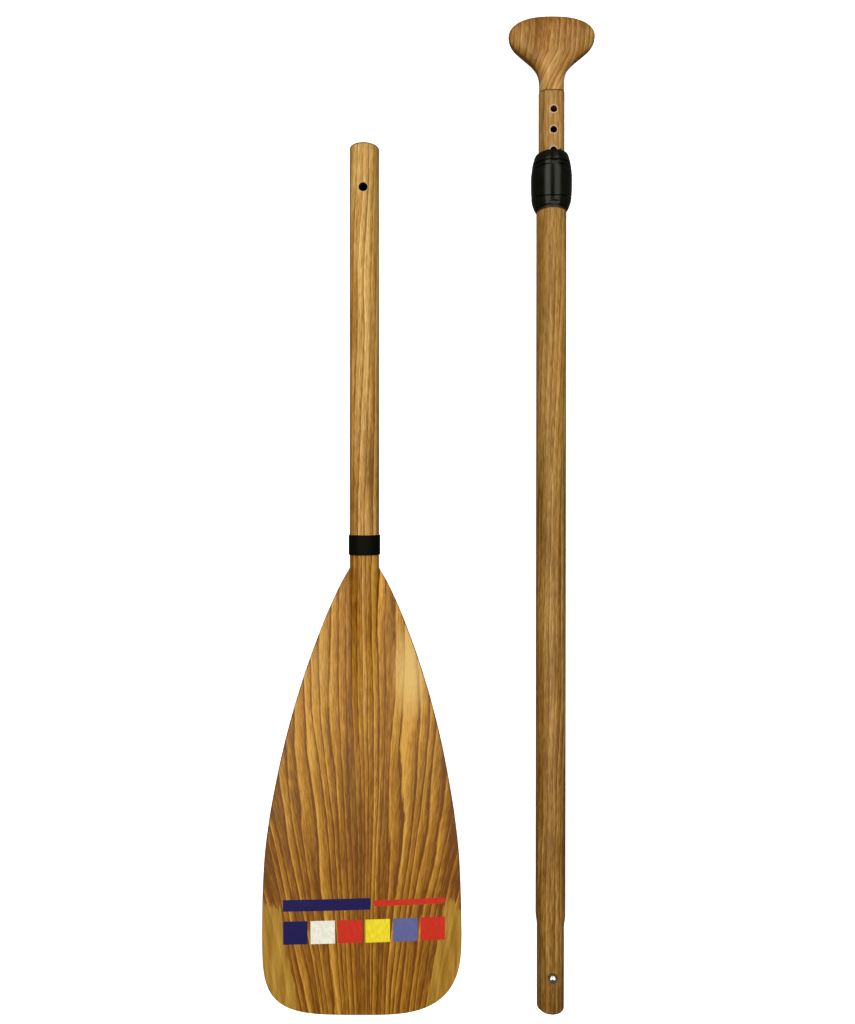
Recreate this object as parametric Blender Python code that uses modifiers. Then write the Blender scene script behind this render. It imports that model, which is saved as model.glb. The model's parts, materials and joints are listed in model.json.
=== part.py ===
"""Adjustable single blade paddle, taken apart into its two sections, which lie flat side by side.

World frame: metres, +Z up, floor at z = 0, blade towards -Y, grip towards +Y.
Each section is modelled in its own frame, held by an empty: z runs along the shaft towards the
grip, x to the right, and -y is the front, which faces up while the paddle lies on its back.
"""

import math

import bmesh
import bpy
from mathutils import Matrix

# Layout on the floor
BLADE_SECTION_X = -0.0620
UPPER_SECTION_X = 0.1243
GAP = 0.0003  # between pieces that touch

# Tubes
TUBE_R = 0.0148
TUBE_WALL = 0.0011
TUBE_BORE_R = TUBE_R - TUBE_WALL
SPIGOT_R = 0.0135
SPIGOT_BORE_R = SPIGOT_R - TUBE_WALL
EXTENSION_R = 0.01275
EXTENSION_BORE_R = EXTENSION_R - TUBE_WALL
ROUND_STEPS = 32

# Blade section, z along the shaft
MOUTH_Z = 0.3742
LOWER_SHAFT_END_Z = -0.0220
BUTTON_HOLE_FROM_MOUTH = 0.0440
BUTTON_HOLE_R = 0.0045
BAND_Z = (-0.0312, -0.0115)
BAND_R = 0.01575
BAND_BEVEL = 0.0004
NECK_R = 0.0146
NECK_END_Z = -0.0440
STUB_R = TUBE_BORE_R - GAP
STUB_TOP_Z = 0.0180
PLUG_LENGTH = 0.0200  # of a foam float plug
LOWER_PLUG_Z = 0.0280

# Blade outline: (distance below the neck, half width), then a rounded lower end
BLADE_STATIONS = (
    (0.000, 0.0146),
    (0.014, 0.0226),
    (0.034, 0.0321),
    (0.054, 0.0406),
    (0.095, 0.0557),
    (0.135, 0.0682),
    (0.176, 0.0789),
    (0.216, 0.0873),
    (0.257, 0.0943),
    (0.298, 0.0989),
    (0.339, 0.1008),
    (0.371, 0.1015),
)
BLADE_END_LENGTH = 0.0870
BLADE_END_POWER_LEFT = 4.1
BLADE_END_POWER_RIGHT = 3.0
BLADE_LEAN = 0.0037  # how far the widest part sits to the left of the shaft's axis
BLADE_DROP = 0.0137  # how far the tip's mid-surface lies behind the shaft's axis
BLADE_DROP_POWER = 1.3
BLADE_EDGE_HALF = 0.0013
BLADE_CORE_HALF = 0.0026
SPINE_HALF_WIDTH = NECK_R
SPINE_LENGTH = 0.3100
CORE_START = 0.0500  # the wings reach their full thickness this far below the neck
WING_START = 0.0100
ROUND_UNTIL = 0.0340  # below this, the section's points are spread as spine and wing

# How finely the blade is divided
BLADE_LANES = 12
SPINE_LANES = 5
FLARE_STEPS = (0.0, 0.005, 0.010, 0.017, 0.025, 0.034, 0.045, 0.060, 0.078)
BODY_START = 0.1000
BODY_STEPS = 9
END_ANGLES = range(10, 81, 10)
END_SHARE = 0.9975  # the flat at the very tip

# Upper section, z along the shaft
MAIN_TOP_Z = 0.3435
SHOULDER_Z = (-0.4010, -0.3920)
SPIGOT_END_Z = -0.4835
BUTTON_Z = -0.4470
BUTTON_R = 0.0041
BUTTON_FLANGE_R = 0.0052
BUTTON_FLANGE_LOW = 0.0096
BUTTON_SHOULDER = 0.0150
BUTTON_TOP = 0.0173
DOME_ANGLES = (25, 50, 75)
SPRING_WIDTH = 0.0060
SPRING_THICKNESS = 0.0007
SPRING_PATH = (  # (along the shaft from the button, front), after the leg under the button
    (0.0200, 0.0065),
    (0.0245, 0.0035),
    (0.0262, 0.0),
    (0.0245, -0.0040),
    (0.0180, -0.0085),
    (0.0060, -0.0112),
    (-0.0060, -0.0112),
)
SPRING_LEG_HALF = 0.0050
PLUG_ABOVE_SHOULDER = 0.0280
HOLE_CUTTER = 0.0080  # how long a cutter through a tube's wall is
PEG_HOLE_CUTTER = 0.0040

# Extension and its row of holes
EXTENSION_Z = (-0.0750, 0.4267)
FIRST_HOLE_Z = 0.4050
HOLE_PITCH = 0.0200
HOLE_COUNT = 21
HOLE_R = 0.0034
ROW_CUTTER = 0.0060
END_PLUG_LENGTH = 0.0150
END_PLUG_FLANGE = 0.0040
SADDLE_R = 0.0270  # the grip meets the extension along a shallow saddle
SADDLE_WIDTH = 0.0360
KEEPER = (0.0200, 0.0265)  # half width and half depth of the shape that keeps the extension
SPARE = 0.0020  # extra length that the saddle then cuts off

# Barrel collar: (z, outer radius)
BARREL = (
    (0.3112, 0.0162),
    (0.3126, 0.0169),
    (0.3156, 0.0181),
    (0.3185, 0.0190),
    (0.3215, 0.0196),
    (0.3260, 0.0199),
    (0.3360, 0.0202),
    (0.3440, 0.0202),
    (0.3480, 0.0198),
    (0.3520, 0.0193),
    (0.3550, 0.0189),
    (0.3580, 0.0182),
    (0.3610, 0.0174),
    (0.3634, 0.0167),
    (0.3642, 0.0160),
)
COLLAR_BORE_R = TUBE_R + GAP
SLIDE_BORE_R = EXTENSION_R + GAP
CAP_SPLIT_Z = 0.3535
GROOVE = 0.0008
SLANT_Z = 0.3243  # where the slanted lower split crosses the shaft's axis
SLANT_ANGLE = math.atan(0.31)
BASE_TOP_Z = 0.3330  # before the slanted cut, as is the sleeve's lower end
SLEEVE_LOW_Z = 0.3160
NOTCH_Z = 0.3105  # a finger scoop under the lever's tip
NOTCH_FRONT = 0.0207
NOTCH_R = 0.0051
NOTCH_WIDTH = 0.0250
NUB = (0.0062, 0.0139)  # a small moulded nub on the cap's top rim: x and front
NUB_R = 0.0009
NUB_LENGTH = 0.0030

# How far the cutters reach past the collar
CUT_LOW_Z = 0.3050
CUT_HIGH_Z = 0.3600
CUT_FRONT = 0.0300
CUT_SIDE = 0.0250

# Lock lever, a cover over the collar's front
LEVER_SPLIT_FRONT = 0.0060  # it meets the sleeve along a plane this far in front of the axis
LEVER_TOP_Z = 0.3486
LEVER_INNER_R = 0.0156
LEVER_LOW_Z = 0.3130
LEVER_GAP = 0.0004
LEVER_SWING_GAP = 0.0008  # above the lever's top edge, which rises as it swings open
TONGUE_HALF_WIDTH = 0.0032
PIVOT_Z = 0.3512
PIVOT_FRONT = 0.0175
KNUCKLE_R = 0.0018
PIN_R = 0.0009
PIN_HALF_LENGTH = 0.0058
PIN_CLEARANCE = 0.0002
PEG_Z = FIRST_HOLE_Z - 4 * HOLE_PITCH
PEG_R = 0.0028
PEG_TIP_FRONT = 0.0113
PEG_FOOT_FRONT = 0.0176
PEG_CHAMFER = 0.0006
PEG_SOCKET_SPARE = 0.0010
TONGUE_INSET = 0.0001
TONGUE_OVERLAP = 0.0006
TONGUE_RISE = 0.0003
LEVER_BORE_LENGTH = 0.0100
SLANT_BLOCK = 0.0600
LEAST_STEP = 0.0004  # profile points closer than this to a cut are left out

# Grip: (z, half width, half depth, roundness power of the section)
GRIP_STATIONS = (
    (0.4180, 0.01230, 0.01230, 2.0),
    (0.4300, 0.01225, 0.01225, 2.0),
    (0.4370, 0.01230, 0.01225, 2.0),
    (0.4425, 0.01300, 0.01225, 2.0),
    (0.4475, 0.01450, 0.01220, 2.1),
    (0.4530, 0.01800, 0.01215, 2.2),
    (0.4590, 0.02420, 0.01210, 2.3),
    (0.4650, 0.03180, 0.01210, 2.4),
    (0.4710, 0.03840, 0.01200, 2.5),
    (0.4770, 0.04190, 0.01180, 2.5),
    (0.4825, 0.04290, 0.01140, 2.5),
)
GRIP_TOP_Z = 0.5020
GRIP_END_POWER = 2.2
GRIP_STEPS = 20
GRIP_TOP_STEPS = 9
GRIP_TOP_ANGLE = 86
GRIP_POINTS = 32
GRIP_STUB_R = EXTENSION_BORE_R - GAP
GRIP_STUB_END_Z = 0.4130
GRIP_STUB_OVERLAP = 0.0200


def shaft_tilt():
    """The upper section rests on its collar and, further down, on its shaft's shoulder."""
    widest = max(r for _, r in BARREL)
    widest_z = min(z for z, r in BARREL if r == widest)
    return math.atan((widest - TUBE_R) / (widest_z - SHOULDER_Z[1]))


TILT = shaft_tilt()
UPPER_AXIS_HEIGHT = TUBE_R - SHOULDER_Z[1] * math.tan(TILT)


def new_collection(name):
    found = bpy.data.collections.new(name)
    bpy.context.scene.collection.children.link(found)
    return found


def new_material(name, colour, roughness, metallic=0.0):
    made = bpy.data.materials.new(name)
    made.use_nodes = True
    made.diffuse_color = (*colour, 1.0)
    shader = made.node_tree.nodes["Principled BSDF"]
    shader.inputs["Base Color"].default_value = (*colour, 1.0)
    shader.inputs["Roughness"].default_value = roughness
    shader.inputs["Metallic"].default_value = metallic
    return made


def clear_scene():
    for old in list(bpy.data.objects):
        bpy.data.objects.remove(old)


clear_scene()
PADDLE = new_collection("single_blade_paddle")
CUTTERS = new_collection("cutters")

WOOD_PRINT = new_material("wood_print", (0.40, 0.21, 0.06), 0.35)
WOOD_PRINT_PALE = new_material("wood_print_pale", (0.48, 0.28, 0.09), 0.35)
BLACK_PLASTIC = new_material("black_plastic", (0.02, 0.02, 0.018), 0.35)
FOAM = new_material("foam", (0.75, 0.75, 0.72), 0.9)
STEEL = new_material("steel", (0.60, 0.60, 0.60), 0.25, 1.0)
NYLON = new_material("nylon", (0.75, 0.75, 0.70), 0.5)


def section_frame(name, x, axis_height, tilt):
    """An empty on the section's shaft axis: its z runs along the shaft, its -y faces up."""
    frame = bpy.data.objects.new(name, None)
    frame.location = (x, 0.0, axis_height)
    frame.rotation_euler = (tilt - math.pi / 2, 0.0, 0.0)
    PADDLE.objects.link(frame)
    return frame


def add_object(name, mesh, parent, material):
    made = bpy.data.objects.new(name, mesh)
    made.parent = parent
    if material:
        mesh.materials.append(material)
        PADDLE.objects.link(made)
    else:
        made.hide_render = True
        made.display_type = "WIRE"
        CUTTERS.objects.link(made)
    mesh.shade_smooth()
    mesh.set_sharp_from_angle(angle=math.radians(35))
    return made


def mesh_from(name, shape):
    bmesh.ops.recalc_face_normals(shape, faces=shape.faces)
    mesh = bpy.data.meshes.new(name)
    shape.to_mesh(mesh)
    shape.free()
    return mesh


def turned(name, profile, closed, parent, material=None, steps=ROUND_STEPS):
    """Turns a profile of (radius, z) about the z axis: top to bottom on its outer side."""
    mesh = bpy.data.meshes.new(name)
    edges = [(i, i + 1) for i in range(len(profile) - 1)]
    if closed:
        edges.append((len(profile) - 1, 0))
    mesh.from_pydata([(r, 0.0, z) for r, z in profile], edges, [])
    made = add_object(name, mesh, parent, material)
    screw = made.modifiers.new("turn", "SCREW")
    screw.axis = "Z"
    screw.steps = screw.render_steps = steps
    screw.use_merge_vertices = True
    screw.merge_threshold = 0.00001
    screw.use_smooth_shade = True
    return made


def ring_profile(outer, inner, low, high):
    return [(outer, high), (outer, low), (inner, low), (inner, high)]


def disc_profile(outer, low, high):
    return [(0.0, high), (outer, high), (outer, low), (0.0, low)]


def box(name, parent, low, high, material=None):
    """A box between two corners given as (x, front, z), with its origin on the shaft's axis."""
    size = [b - a for a, b in zip(low, high)]
    middle = [(a + b) / 2 for a, b in zip(low, high)]
    shape = bmesh.new()
    bmesh.ops.create_cube(shape, size=1.0)
    bmesh.ops.scale(shape, vec=size, verts=shape.verts)
    bmesh.ops.translate(shape, vec=(middle[0], -middle[1], middle[2]), verts=shape.verts)
    return add_object(name, mesh_from(name, shape), parent, material)


def rod(name, parent, centre, radius, length, along, material=None, segments=24):
    """A cylinder about a centre given as (x, front, z), along 'x' or 'front'."""
    shape = bmesh.new()
    bmesh.ops.create_cone(
        shape, cap_ends=True, segments=segments, radius1=radius, radius2=radius, depth=length
    )
    made = add_object(name, mesh_from(name, shape), parent, material)
    made.location = (centre[0], -centre[1], centre[2])
    made.rotation_euler = (0, math.pi / 2, 0) if along == "x" else (math.pi / 2, 0, 0)
    return made


def boolean(target, other, operation):
    made = target.modifiers.new(operation.lower() + "_" + other.name, "BOOLEAN")
    made.object = other
    made.operation = operation
    made.solver = "EXACT"
    return target


def lofted(name, rings, parent, material):
    """Joins rings of points, all of one length, into a closed skin with flat ends."""
    shape = bmesh.new()
    layers = [[shape.verts.new(point) for point in ring] for ring in rings]
    for low, high in zip(layers, layers[1:]):
        for i in range(len(low)):
            j = (i + 1) % len(low)
            shape.faces.new((low[i], low[j], high[j], high[i]))
    shape.faces.new(layers[0])
    shape.faces.new(layers[-1])
    return add_object(name, mesh_from(name, shape), parent, material)


def smooth_through(stations, at):
    """Reads a smooth curve through (position, value) stations, without overshoot."""
    xs = [s[0] for s in stations]
    ys = [s[1] for s in stations]
    rises = [(ys[i + 1] - ys[i]) / (xs[i + 1] - xs[i]) for i in range(len(xs) - 1)]
    slopes = [rises[0]]
    for before, after in zip(rises, rises[1:]):
        same_way = before * after > 0
        slopes.append(2 * before * after / (before + after) if same_way else 0.0)
    slopes.append(rises[-1])
    at = min(max(at, xs[0]), xs[-1])
    i = max(k for k in range(len(xs) - 1) if xs[k] <= at)
    width = xs[i + 1] - xs[i]
    t = (at - xs[i]) / width
    return (
        (2 * t**3 - 3 * t**2 + 1) * ys[i]
        + (t**3 - 2 * t**2 + t) * width * slopes[i]
        + (3 * t**2 - 2 * t**3) * ys[i + 1]
        + (t**3 - t**2) * width * slopes[i + 1]
    )


# Blade section


def blade_edges(s):
    """Left and right half widths and the centre's lean, at distance s below the neck."""
    widest_s, widest = BLADE_STATIONS[-1]
    lean = BLADE_LEAN * (1 - math.cos(math.pi * min(s / widest_s, 1.0))) / 2
    if s <= widest_s:
        half = smooth_through(BLADE_STATIONS, s)
        return half + lean, half - lean
    t = min((s - widest_s) / BLADE_END_LENGTH, 1.0)
    left = (1 - t**BLADE_END_POWER_LEFT) ** (1 / BLADE_END_POWER_LEFT)
    right = (1 - t**BLADE_END_POWER_RIGHT) ** (1 / BLADE_END_POWER_RIGHT)
    return (widest + lean) * left, (widest - lean) * right


def blade_half_thickness(x, half, s):
    """Half the thickness at x: a raised spine that fades out, on a slim lens-shaped wing."""
    length = BLADE_STATIONS[-1][0] + BLADE_END_LENGTH
    core = BLADE_CORE_HALF * (1 - (s / length) ** 4) * min(s / CORE_START, 1.0)
    across = min(abs(x) / half, 1.0)
    wing = BLADE_EDGE_HALF + core * (1 - across**2)
    rise = NECK_R * max(1 - s / SPINE_LENGTH, 0.0)
    spine = rise * math.sqrt(max(1 - (x / SPINE_HALF_WIDTH) ** 2, 0.0))
    return max(wing * min(s / WING_START, 1.0), spine)


def blade_lanes(half, s):
    """Distances from the centre to the edge: evenly round at the neck, then spine and wing."""
    wing = half - BLADE_EDGE_HALF - SPINE_HALF_WIDTH
    wing_lanes = BLADE_LANES - 1 - SPINE_LANES
    lanes = []
    for i in range(BLADE_LANES + 1):
        round_x = half * math.sin(math.radians(90 * i / BLADE_LANES))
        if i <= SPINE_LANES:
            flat_x = SPINE_HALF_WIDTH * math.sin(math.radians(90 * i / SPINE_LANES))
        elif i < BLADE_LANES:
            flat_x = SPINE_HALF_WIDTH + wing * (i - SPINE_LANES) / wing_lanes
        else:
            flat_x = half
        share = min(s / ROUND_UNTIL, 1.0)
        lanes.append(round_x + (flat_x - round_x) * share)
    return lanes


def blade_ring(s):
    left, right = blade_edges(s)
    length = BLADE_STATIONS[-1][0] + BLADE_END_LENGTH
    back = BLADE_DROP * (s / length) ** BLADE_DROP_POWER
    z = NECK_END_Z - s
    left_xs = [-x for x in reversed(blade_lanes(left, s))]
    xs = left_xs[:-1] + blade_lanes(right, s)
    sides = [left] * BLADE_LANES + [right] * (BLADE_LANES + 1)
    halves = [blade_half_thickness(x, side, s) for x, side in zip(xs, sides)]
    halves[0] = halves[-1] = 0.0
    front = [(x, back - t, z) for x, t in zip(xs, halves)]
    rear = [(x, back + t, z) for x, t in zip(xs, halves)]
    return front + rear[-2:0:-1]


def neck_ring(radius, z):
    """A circle with as many points as a blade ring."""
    half_turn = 2 * BLADE_LANES
    angles = [math.pi + math.pi * i / half_turn for i in range(2 * half_turn)]
    return [(radius * math.cos(a), radius * math.sin(a), z) for a in angles]


def make_blade(frame):
    top = LOWER_SHAFT_END_Z - GAP
    rings = [neck_ring(STUB_R, STUB_TOP_Z), neck_ring(STUB_R, top), neck_ring(NECK_R, top)]
    widest_s = BLADE_STATIONS[-1][0]
    body_length = widest_s - BODY_START
    steps = list(FLARE_STEPS)
    steps += [BODY_START + body_length * i / BODY_STEPS for i in range(BODY_STEPS + 1)]
    steps += [widest_s + BLADE_END_LENGTH * math.sin(math.radians(a)) for a in END_ANGLES]
    steps.append(widest_s + BLADE_END_LENGTH * END_SHARE)
    rings += [blade_ring(s) for s in steps]
    return lofted("blade", rings, frame, WOOD_PRINT_PALE)


def make_blade_section():
    frame = section_frame("blade_section", BLADE_SECTION_X, BAND_R, 0.0)
    make_blade(frame)
    turned(
        "lower_shaft",
        ring_profile(TUBE_R, TUBE_BORE_R, LOWER_SHAFT_END_Z, MOUTH_Z),
        True,
        frame,
        WOOD_PRINT,
    )
    hole_z = MOUTH_Z - BUTTON_HOLE_FROM_MOUTH
    at_hole = (0, TUBE_R, hole_z)
    hole = rod("lower_button_hole", frame, at_hole, BUTTON_HOLE_R, HOLE_CUTTER, "front")
    boolean(bpy.data.objects["lower_shaft"], hole, "DIFFERENCE")

    low, high = BAND_Z
    lip = BAND_R - BAND_BEVEL
    band = [(lip, high), (BAND_R, high - BAND_BEVEL), (BAND_R, low + BAND_BEVEL)]
    band += [(lip, low), (TUBE_R + GAP, low), (TUBE_R + GAP, high)]
    turned("seam_band", band, True, frame, BLACK_PLASTIC)

    turned(
        "lower_float_plug",
        disc_profile(STUB_R, LOWER_PLUG_Z, LOWER_PLUG_Z + PLUG_LENGTH),
        False,
        frame,
        FOAM,
    )


# Upper section


def barrel_radius(z):
    return smooth_through(BARREL, z)


def barrel_profile(low, high, bore):
    """The collar's outer line between two heights, closed along a plain bore."""
    middle = [p for p in BARREL if low + LEAST_STEP < p[0] < high - LEAST_STEP]
    outer = [(low, barrel_radius(low)), *middle, (high, barrel_radius(high))]
    return [(r, z) for z, r in reversed(outer)] + [(bore, low), (bore, high)]


def slant_cutter(name, frame, offset, above):
    """A big block on one side of the collar's slanted lower split, moved by offset."""
    half = SLANT_BLOCK / 2
    low_z, high_z = (0.0, SLANT_BLOCK) if above else (-SLANT_BLOCK, 0.0)
    block = box(name, frame, (-half, -half, low_z), (half, half, high_z))
    block.location = (0.0, 0.0, SLANT_Z + offset)
    block.rotation_euler = (SLANT_ANGLE, 0.0, 0.0)
    return block


def make_main_shaft(frame):
    swage_low, swage_high = SHOULDER_Z
    outer = [(TUBE_R, MAIN_TOP_Z), (TUBE_R, swage_high), (SPIGOT_R, swage_low)]
    outer.append((SPIGOT_R, SPIGOT_END_Z))
    inner = [(SPIGOT_BORE_R, SPIGOT_END_Z), (SPIGOT_BORE_R, swage_low)]
    inner += [(TUBE_BORE_R, swage_high), (TUBE_BORE_R, MAIN_TOP_Z)]
    shaft = turned("main_shaft", outer + inner, True, frame, WOOD_PRINT)
    at_button = (0, SPIGOT_R, BUTTON_Z)
    button_hole = rod(
        "spigot_button_hole", frame, at_button, BUTTON_HOLE_R, HOLE_CUTTER, "front"
    )
    at_peg = (0, TUBE_R, PEG_Z)
    peg_hole = rod("shaft_peg_hole", frame, at_peg, HOLE_R, PEG_HOLE_CUTTER, "front")
    boolean(shaft, button_hole, "DIFFERENCE")
    boolean(shaft, peg_hole, "DIFFERENCE")
    plug_high = swage_high + PLUG_ABOVE_SHOULDER
    turned(
        "float_plug",
        disc_profile(TUBE_BORE_R - GAP, plug_high - PLUG_LENGTH, plug_high),
        False,
        frame,
        FOAM,
    )


def make_snap_button(frame):
    """The button's own z points to the front, and it is pressed in along it."""
    rise = BUTTON_TOP - BUTTON_SHOULDER
    dome = [(0.0, BUTTON_TOP)]
    for angle in DOME_ANGLES:
        turn = math.radians(angle)
        dome.append((BUTTON_R * math.sin(turn), BUTTON_SHOULDER + rise * math.cos(turn)))
    flange_top = math.sqrt(SPIGOT_BORE_R**2 - BUTTON_FLANGE_R**2) - GAP
    profile = dome + [(BUTTON_R, BUTTON_SHOULDER), (BUTTON_R, flange_top)]
    profile += [(BUTTON_FLANGE_R, flange_top), (BUTTON_FLANGE_R, BUTTON_FLANGE_LOW)]
    profile.append((0.0, BUTTON_FLANGE_LOW))
    button = turned("snap_button", profile, False, frame, STEEL, steps=24)
    button.location = (0.0, 0.0, BUTTON_Z)
    button.rotation_euler = (math.pi / 2, 0.0, 0.0)


def make_button_spring(frame):
    """A folded flat spring: one leg under the button, one along the bore's back wall."""
    top_leg = BUTTON_FLANGE_LOW - GAP - SPRING_THICKNESS
    path = [(-SPRING_LEG_HALF, top_leg), (SPRING_LEG_HALF, top_leg), *SPRING_PATH]
    shape = bmesh.new()
    rows = []
    for along, front in path:
        z = BUTTON_Z + along
        pair = [(-SPRING_WIDTH / 2, -front, z), (SPRING_WIDTH / 2, -front, z)]
        rows.append([shape.verts.new(point) for point in pair])
    for one, two in zip(rows, rows[1:]):
        shape.faces.new((one[0], one[1], two[1], two[0]))
    spring = add_object("button_spring", mesh_from("button_spring", shape), frame, STEEL)
    skin = spring.modifiers.new("thickness", "SOLIDIFY")
    skin.thickness = SPRING_THICKNESS
    skin.offset = 0.0


def make_collar(frame):
    groove = GROOVE / 2
    top_z = BARREL[-1][0]

    base_profile = barrel_profile(BARREL[0][0], BASE_TOP_Z, COLLAR_BORE_R)
    base = turned("collar_base", base_profile, True, frame, BLACK_PLASTIC)
    boolean(base, slant_cutter("base_slant", frame, -groove, True), "DIFFERENCE")
    notch = rod("finger_notch", frame, (0, NOTCH_FRONT, NOTCH_Z), NOTCH_R, NOTCH_WIDTH, "x")
    boolean(base, notch, "DIFFERENCE")

    sleeve_profile = barrel_profile(SLEEVE_LOW_Z, CAP_SPLIT_Z - groove, COLLAR_BORE_R)
    sleeve = turned("collar_sleeve", sleeve_profile, True, frame, BLACK_PLASTIC)
    boolean(sleeve, slant_cutter("sleeve_slant", frame, groove, False), "DIFFERENCE")
    slot_low = (-CUT_SIDE, LEVER_SPLIT_FRONT - LEVER_GAP, CUT_LOW_Z)
    slot_high = (CUT_SIDE, CUT_FRONT, LEVER_TOP_Z + LEVER_SWING_GAP)
    boolean(sleeve, box("lever_slot", frame, slot_low, slot_high), "DIFFERENCE")
    wide = TONGUE_HALF_WIDTH + LEVER_GAP
    tongue_low = (-wide, 0.0, LEVER_TOP_Z - KNUCKLE_R)
    tongue_slot = box("tongue_slot", frame, tongue_low, (wide, CUT_FRONT, CUT_HIGH_Z))
    boolean(sleeve, tongue_slot, "DIFFERENCE")
    at_pivot = (0, PIVOT_FRONT, PIVOT_Z)
    hole_length = 2 * (PIN_HALF_LENGTH + GAP)
    pin_hole = rod(
        "pin_hole", frame, at_pivot, PIN_R + PIN_CLEARANCE, hole_length, "x", segments=16
    )
    boolean(sleeve, pin_hole, "DIFFERENCE")

    cap_profile = barrel_profile(CAP_SPLIT_Z + groove, top_z, SLIDE_BORE_R)
    cap = turned("collar_cap", cap_profile, True, frame, BLACK_PLASTIC)
    nub = rod("cap_nub", frame, (*NUB, top_z - NUB_R / 2), NUB_R, NUB_LENGTH, "front")
    nub.rotation_euler = (0.0, 0.0, 0.0)
    boolean(cap, nub, "UNION")

    turned(
        "guide_bush",
        ring_profile(TUBE_R, SLIDE_BORE_R, MAIN_TOP_Z + GAP, CAP_SPLIT_Z - groove),
        True,
        frame,
        NYLON,
    )


def make_lever(frame):
    """The lever and its peg hang on an empty that lies on the pivot pin."""
    pivot = bpy.data.objects.new("lever_pivot", None)
    pivot.parent = frame
    pivot.location = (0.0, -PIVOT_FRONT, PIVOT_Z)
    PADDLE.objects.link(pivot)

    shell = barrel_profile(LEVER_LOW_Z, LEVER_TOP_Z, LEVER_INNER_R)
    lever = turned("lock_lever", shell, True, pivot, BLACK_PLASTIC)
    lever.location = (0.0, PIVOT_FRONT, -PIVOT_Z)
    blank_low = (-CUT_SIDE, LEVER_SPLIT_FRONT, CUT_LOW_Z)
    blank = box("lever_blank", frame, blank_low, (CUT_SIDE, CUT_FRONT, CUT_HIGH_Z))
    boolean(lever, blank, "INTERSECT")
    boolean(lever, slant_cutter("lever_slant", frame, GROOVE / 2, False), "DIFFERENCE")
    half = TONGUE_HALF_WIDTH
    thick = KNUCKLE_R - TONGUE_INSET
    tongue_low = (-half, PIVOT_FRONT - thick, LEVER_TOP_Z - TONGUE_OVERLAP)
    tongue_high = (half, PIVOT_FRONT + thick, PIVOT_Z + TONGUE_RISE)
    boolean(lever, box("lever_tongue", frame, tongue_low, tongue_high), "UNION")
    at_pivot = (0, PIVOT_FRONT, PIVOT_Z)
    knuckle = rod("lever_knuckle", frame, at_pivot, KNUCKLE_R, 2 * half, "x", segments=20)
    boolean(lever, knuckle, "UNION")
    bore_r = PIN_R + PIN_CLEARANCE
    bore = rod("lever_bore", frame, at_pivot, bore_r, LEVER_BORE_LENGTH, "x", segments=16)
    boolean(lever, bore, "DIFFERENCE")
    socket_back = LEVER_INNER_R - PEG_SOCKET_SPARE
    socket_front = PEG_FOOT_FRONT + GAP
    at_socket = (0, (socket_front + socket_back) / 2, PEG_Z)
    depth = socket_front - socket_back
    socket = rod("peg_socket", frame, at_socket, PEG_R + GAP, depth, "front")
    boolean(lever, socket, "DIFFERENCE")

    rod("lever_pin", frame, at_pivot, PIN_R, 2 * PIN_HALF_LENGTH, "x", STEEL, segments=16)

    peg_profile = [(0.0, PEG_FOOT_FRONT), (PEG_R, PEG_FOOT_FRONT)]
    peg_profile += [(PEG_R, PEG_TIP_FRONT + PEG_CHAMFER), (PEG_R - PEG_CHAMFER, PEG_TIP_FRONT)]
    peg_profile.append((0.0, PEG_TIP_FRONT))
    peg = turned("lock_peg", peg_profile, False, pivot, STEEL, steps=24)
    peg.location = (0.0, PIVOT_FRONT, PEG_Z - PIVOT_Z)
    peg.rotation_euler = (math.pi / 2, 0.0, 0.0)


def hole_row_cutter(frame):
    """One cutter with a short cylinder through the extension's front wall at each hole."""
    shape = bmesh.new()
    for i in range(HOLE_COUNT):
        made = bmesh.ops.create_cone(
            shape,
            cap_ends=True,
            segments=16,
            radius1=HOLE_R,
            radius2=HOLE_R,
            depth=ROW_CUTTER,
        )
        turn = Matrix.Rotation(math.pi / 2, 4, "X")
        place = Matrix.Translation((0.0, -EXTENSION_R, FIRST_HOLE_Z - i * HOLE_PITCH))
        bmesh.ops.transform(shape, matrix=place @ turn, verts=made["verts"])
    return add_object("hole_row", mesh_from("hole_row", shape), frame, None)


def make_extension(frame):
    low, high = EXTENSION_Z
    tube = turned(
        "extension_tube",
        ring_profile(EXTENSION_R, EXTENSION_BORE_R, low, high + SPARE),
        True,
        frame,
        WOOD_PRINT_PALE,
    )
    saddle_z = high - SADDLE_R
    wide, deep = KEEPER
    keeper_low = (-wide, -deep, low - SPARE)
    keeper = box("saddle_keeper", frame, keeper_low, (wide, deep, saddle_z))
    arch = rod("saddle_arch", frame, (0, 0, saddle_z), SADDLE_R, SADDLE_WIDTH, "x", segments=96)
    boolean(keeper, arch, "UNION")
    boolean(tube, keeper, "INTERSECT")
    boolean(tube, hole_row_cutter(frame), "DIFFERENCE")

    flange_r = TUBE_BORE_R - GAP
    body_r = EXTENSION_BORE_R - GAP
    under = low - GAP
    plug_top, plug_low = low + END_PLUG_LENGTH, under - END_PLUG_FLANGE
    plug = [(0.0, plug_top), (body_r, plug_top), (body_r, under), (flange_r, under)]
    plug += [(flange_r, plug_low), (0.0, plug_low)]
    turned("extension_plug", plug, False, frame, NYLON)


def grip_ring(z, half_width, half_depth, power):
    """A rounded section: an ellipse at power 2, squarer above it."""
    points = []
    for i in range(GRIP_POINTS):
        angle = 2 * math.pi * i / GRIP_POINTS
        c, s = math.cos(angle), math.sin(angle)
        x = half_width * math.copysign(abs(c) ** (2 / power), c)
        y = half_depth * math.copysign(abs(s) ** (2 / power), s)
        points.append((x, y, z))
    return points


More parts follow.
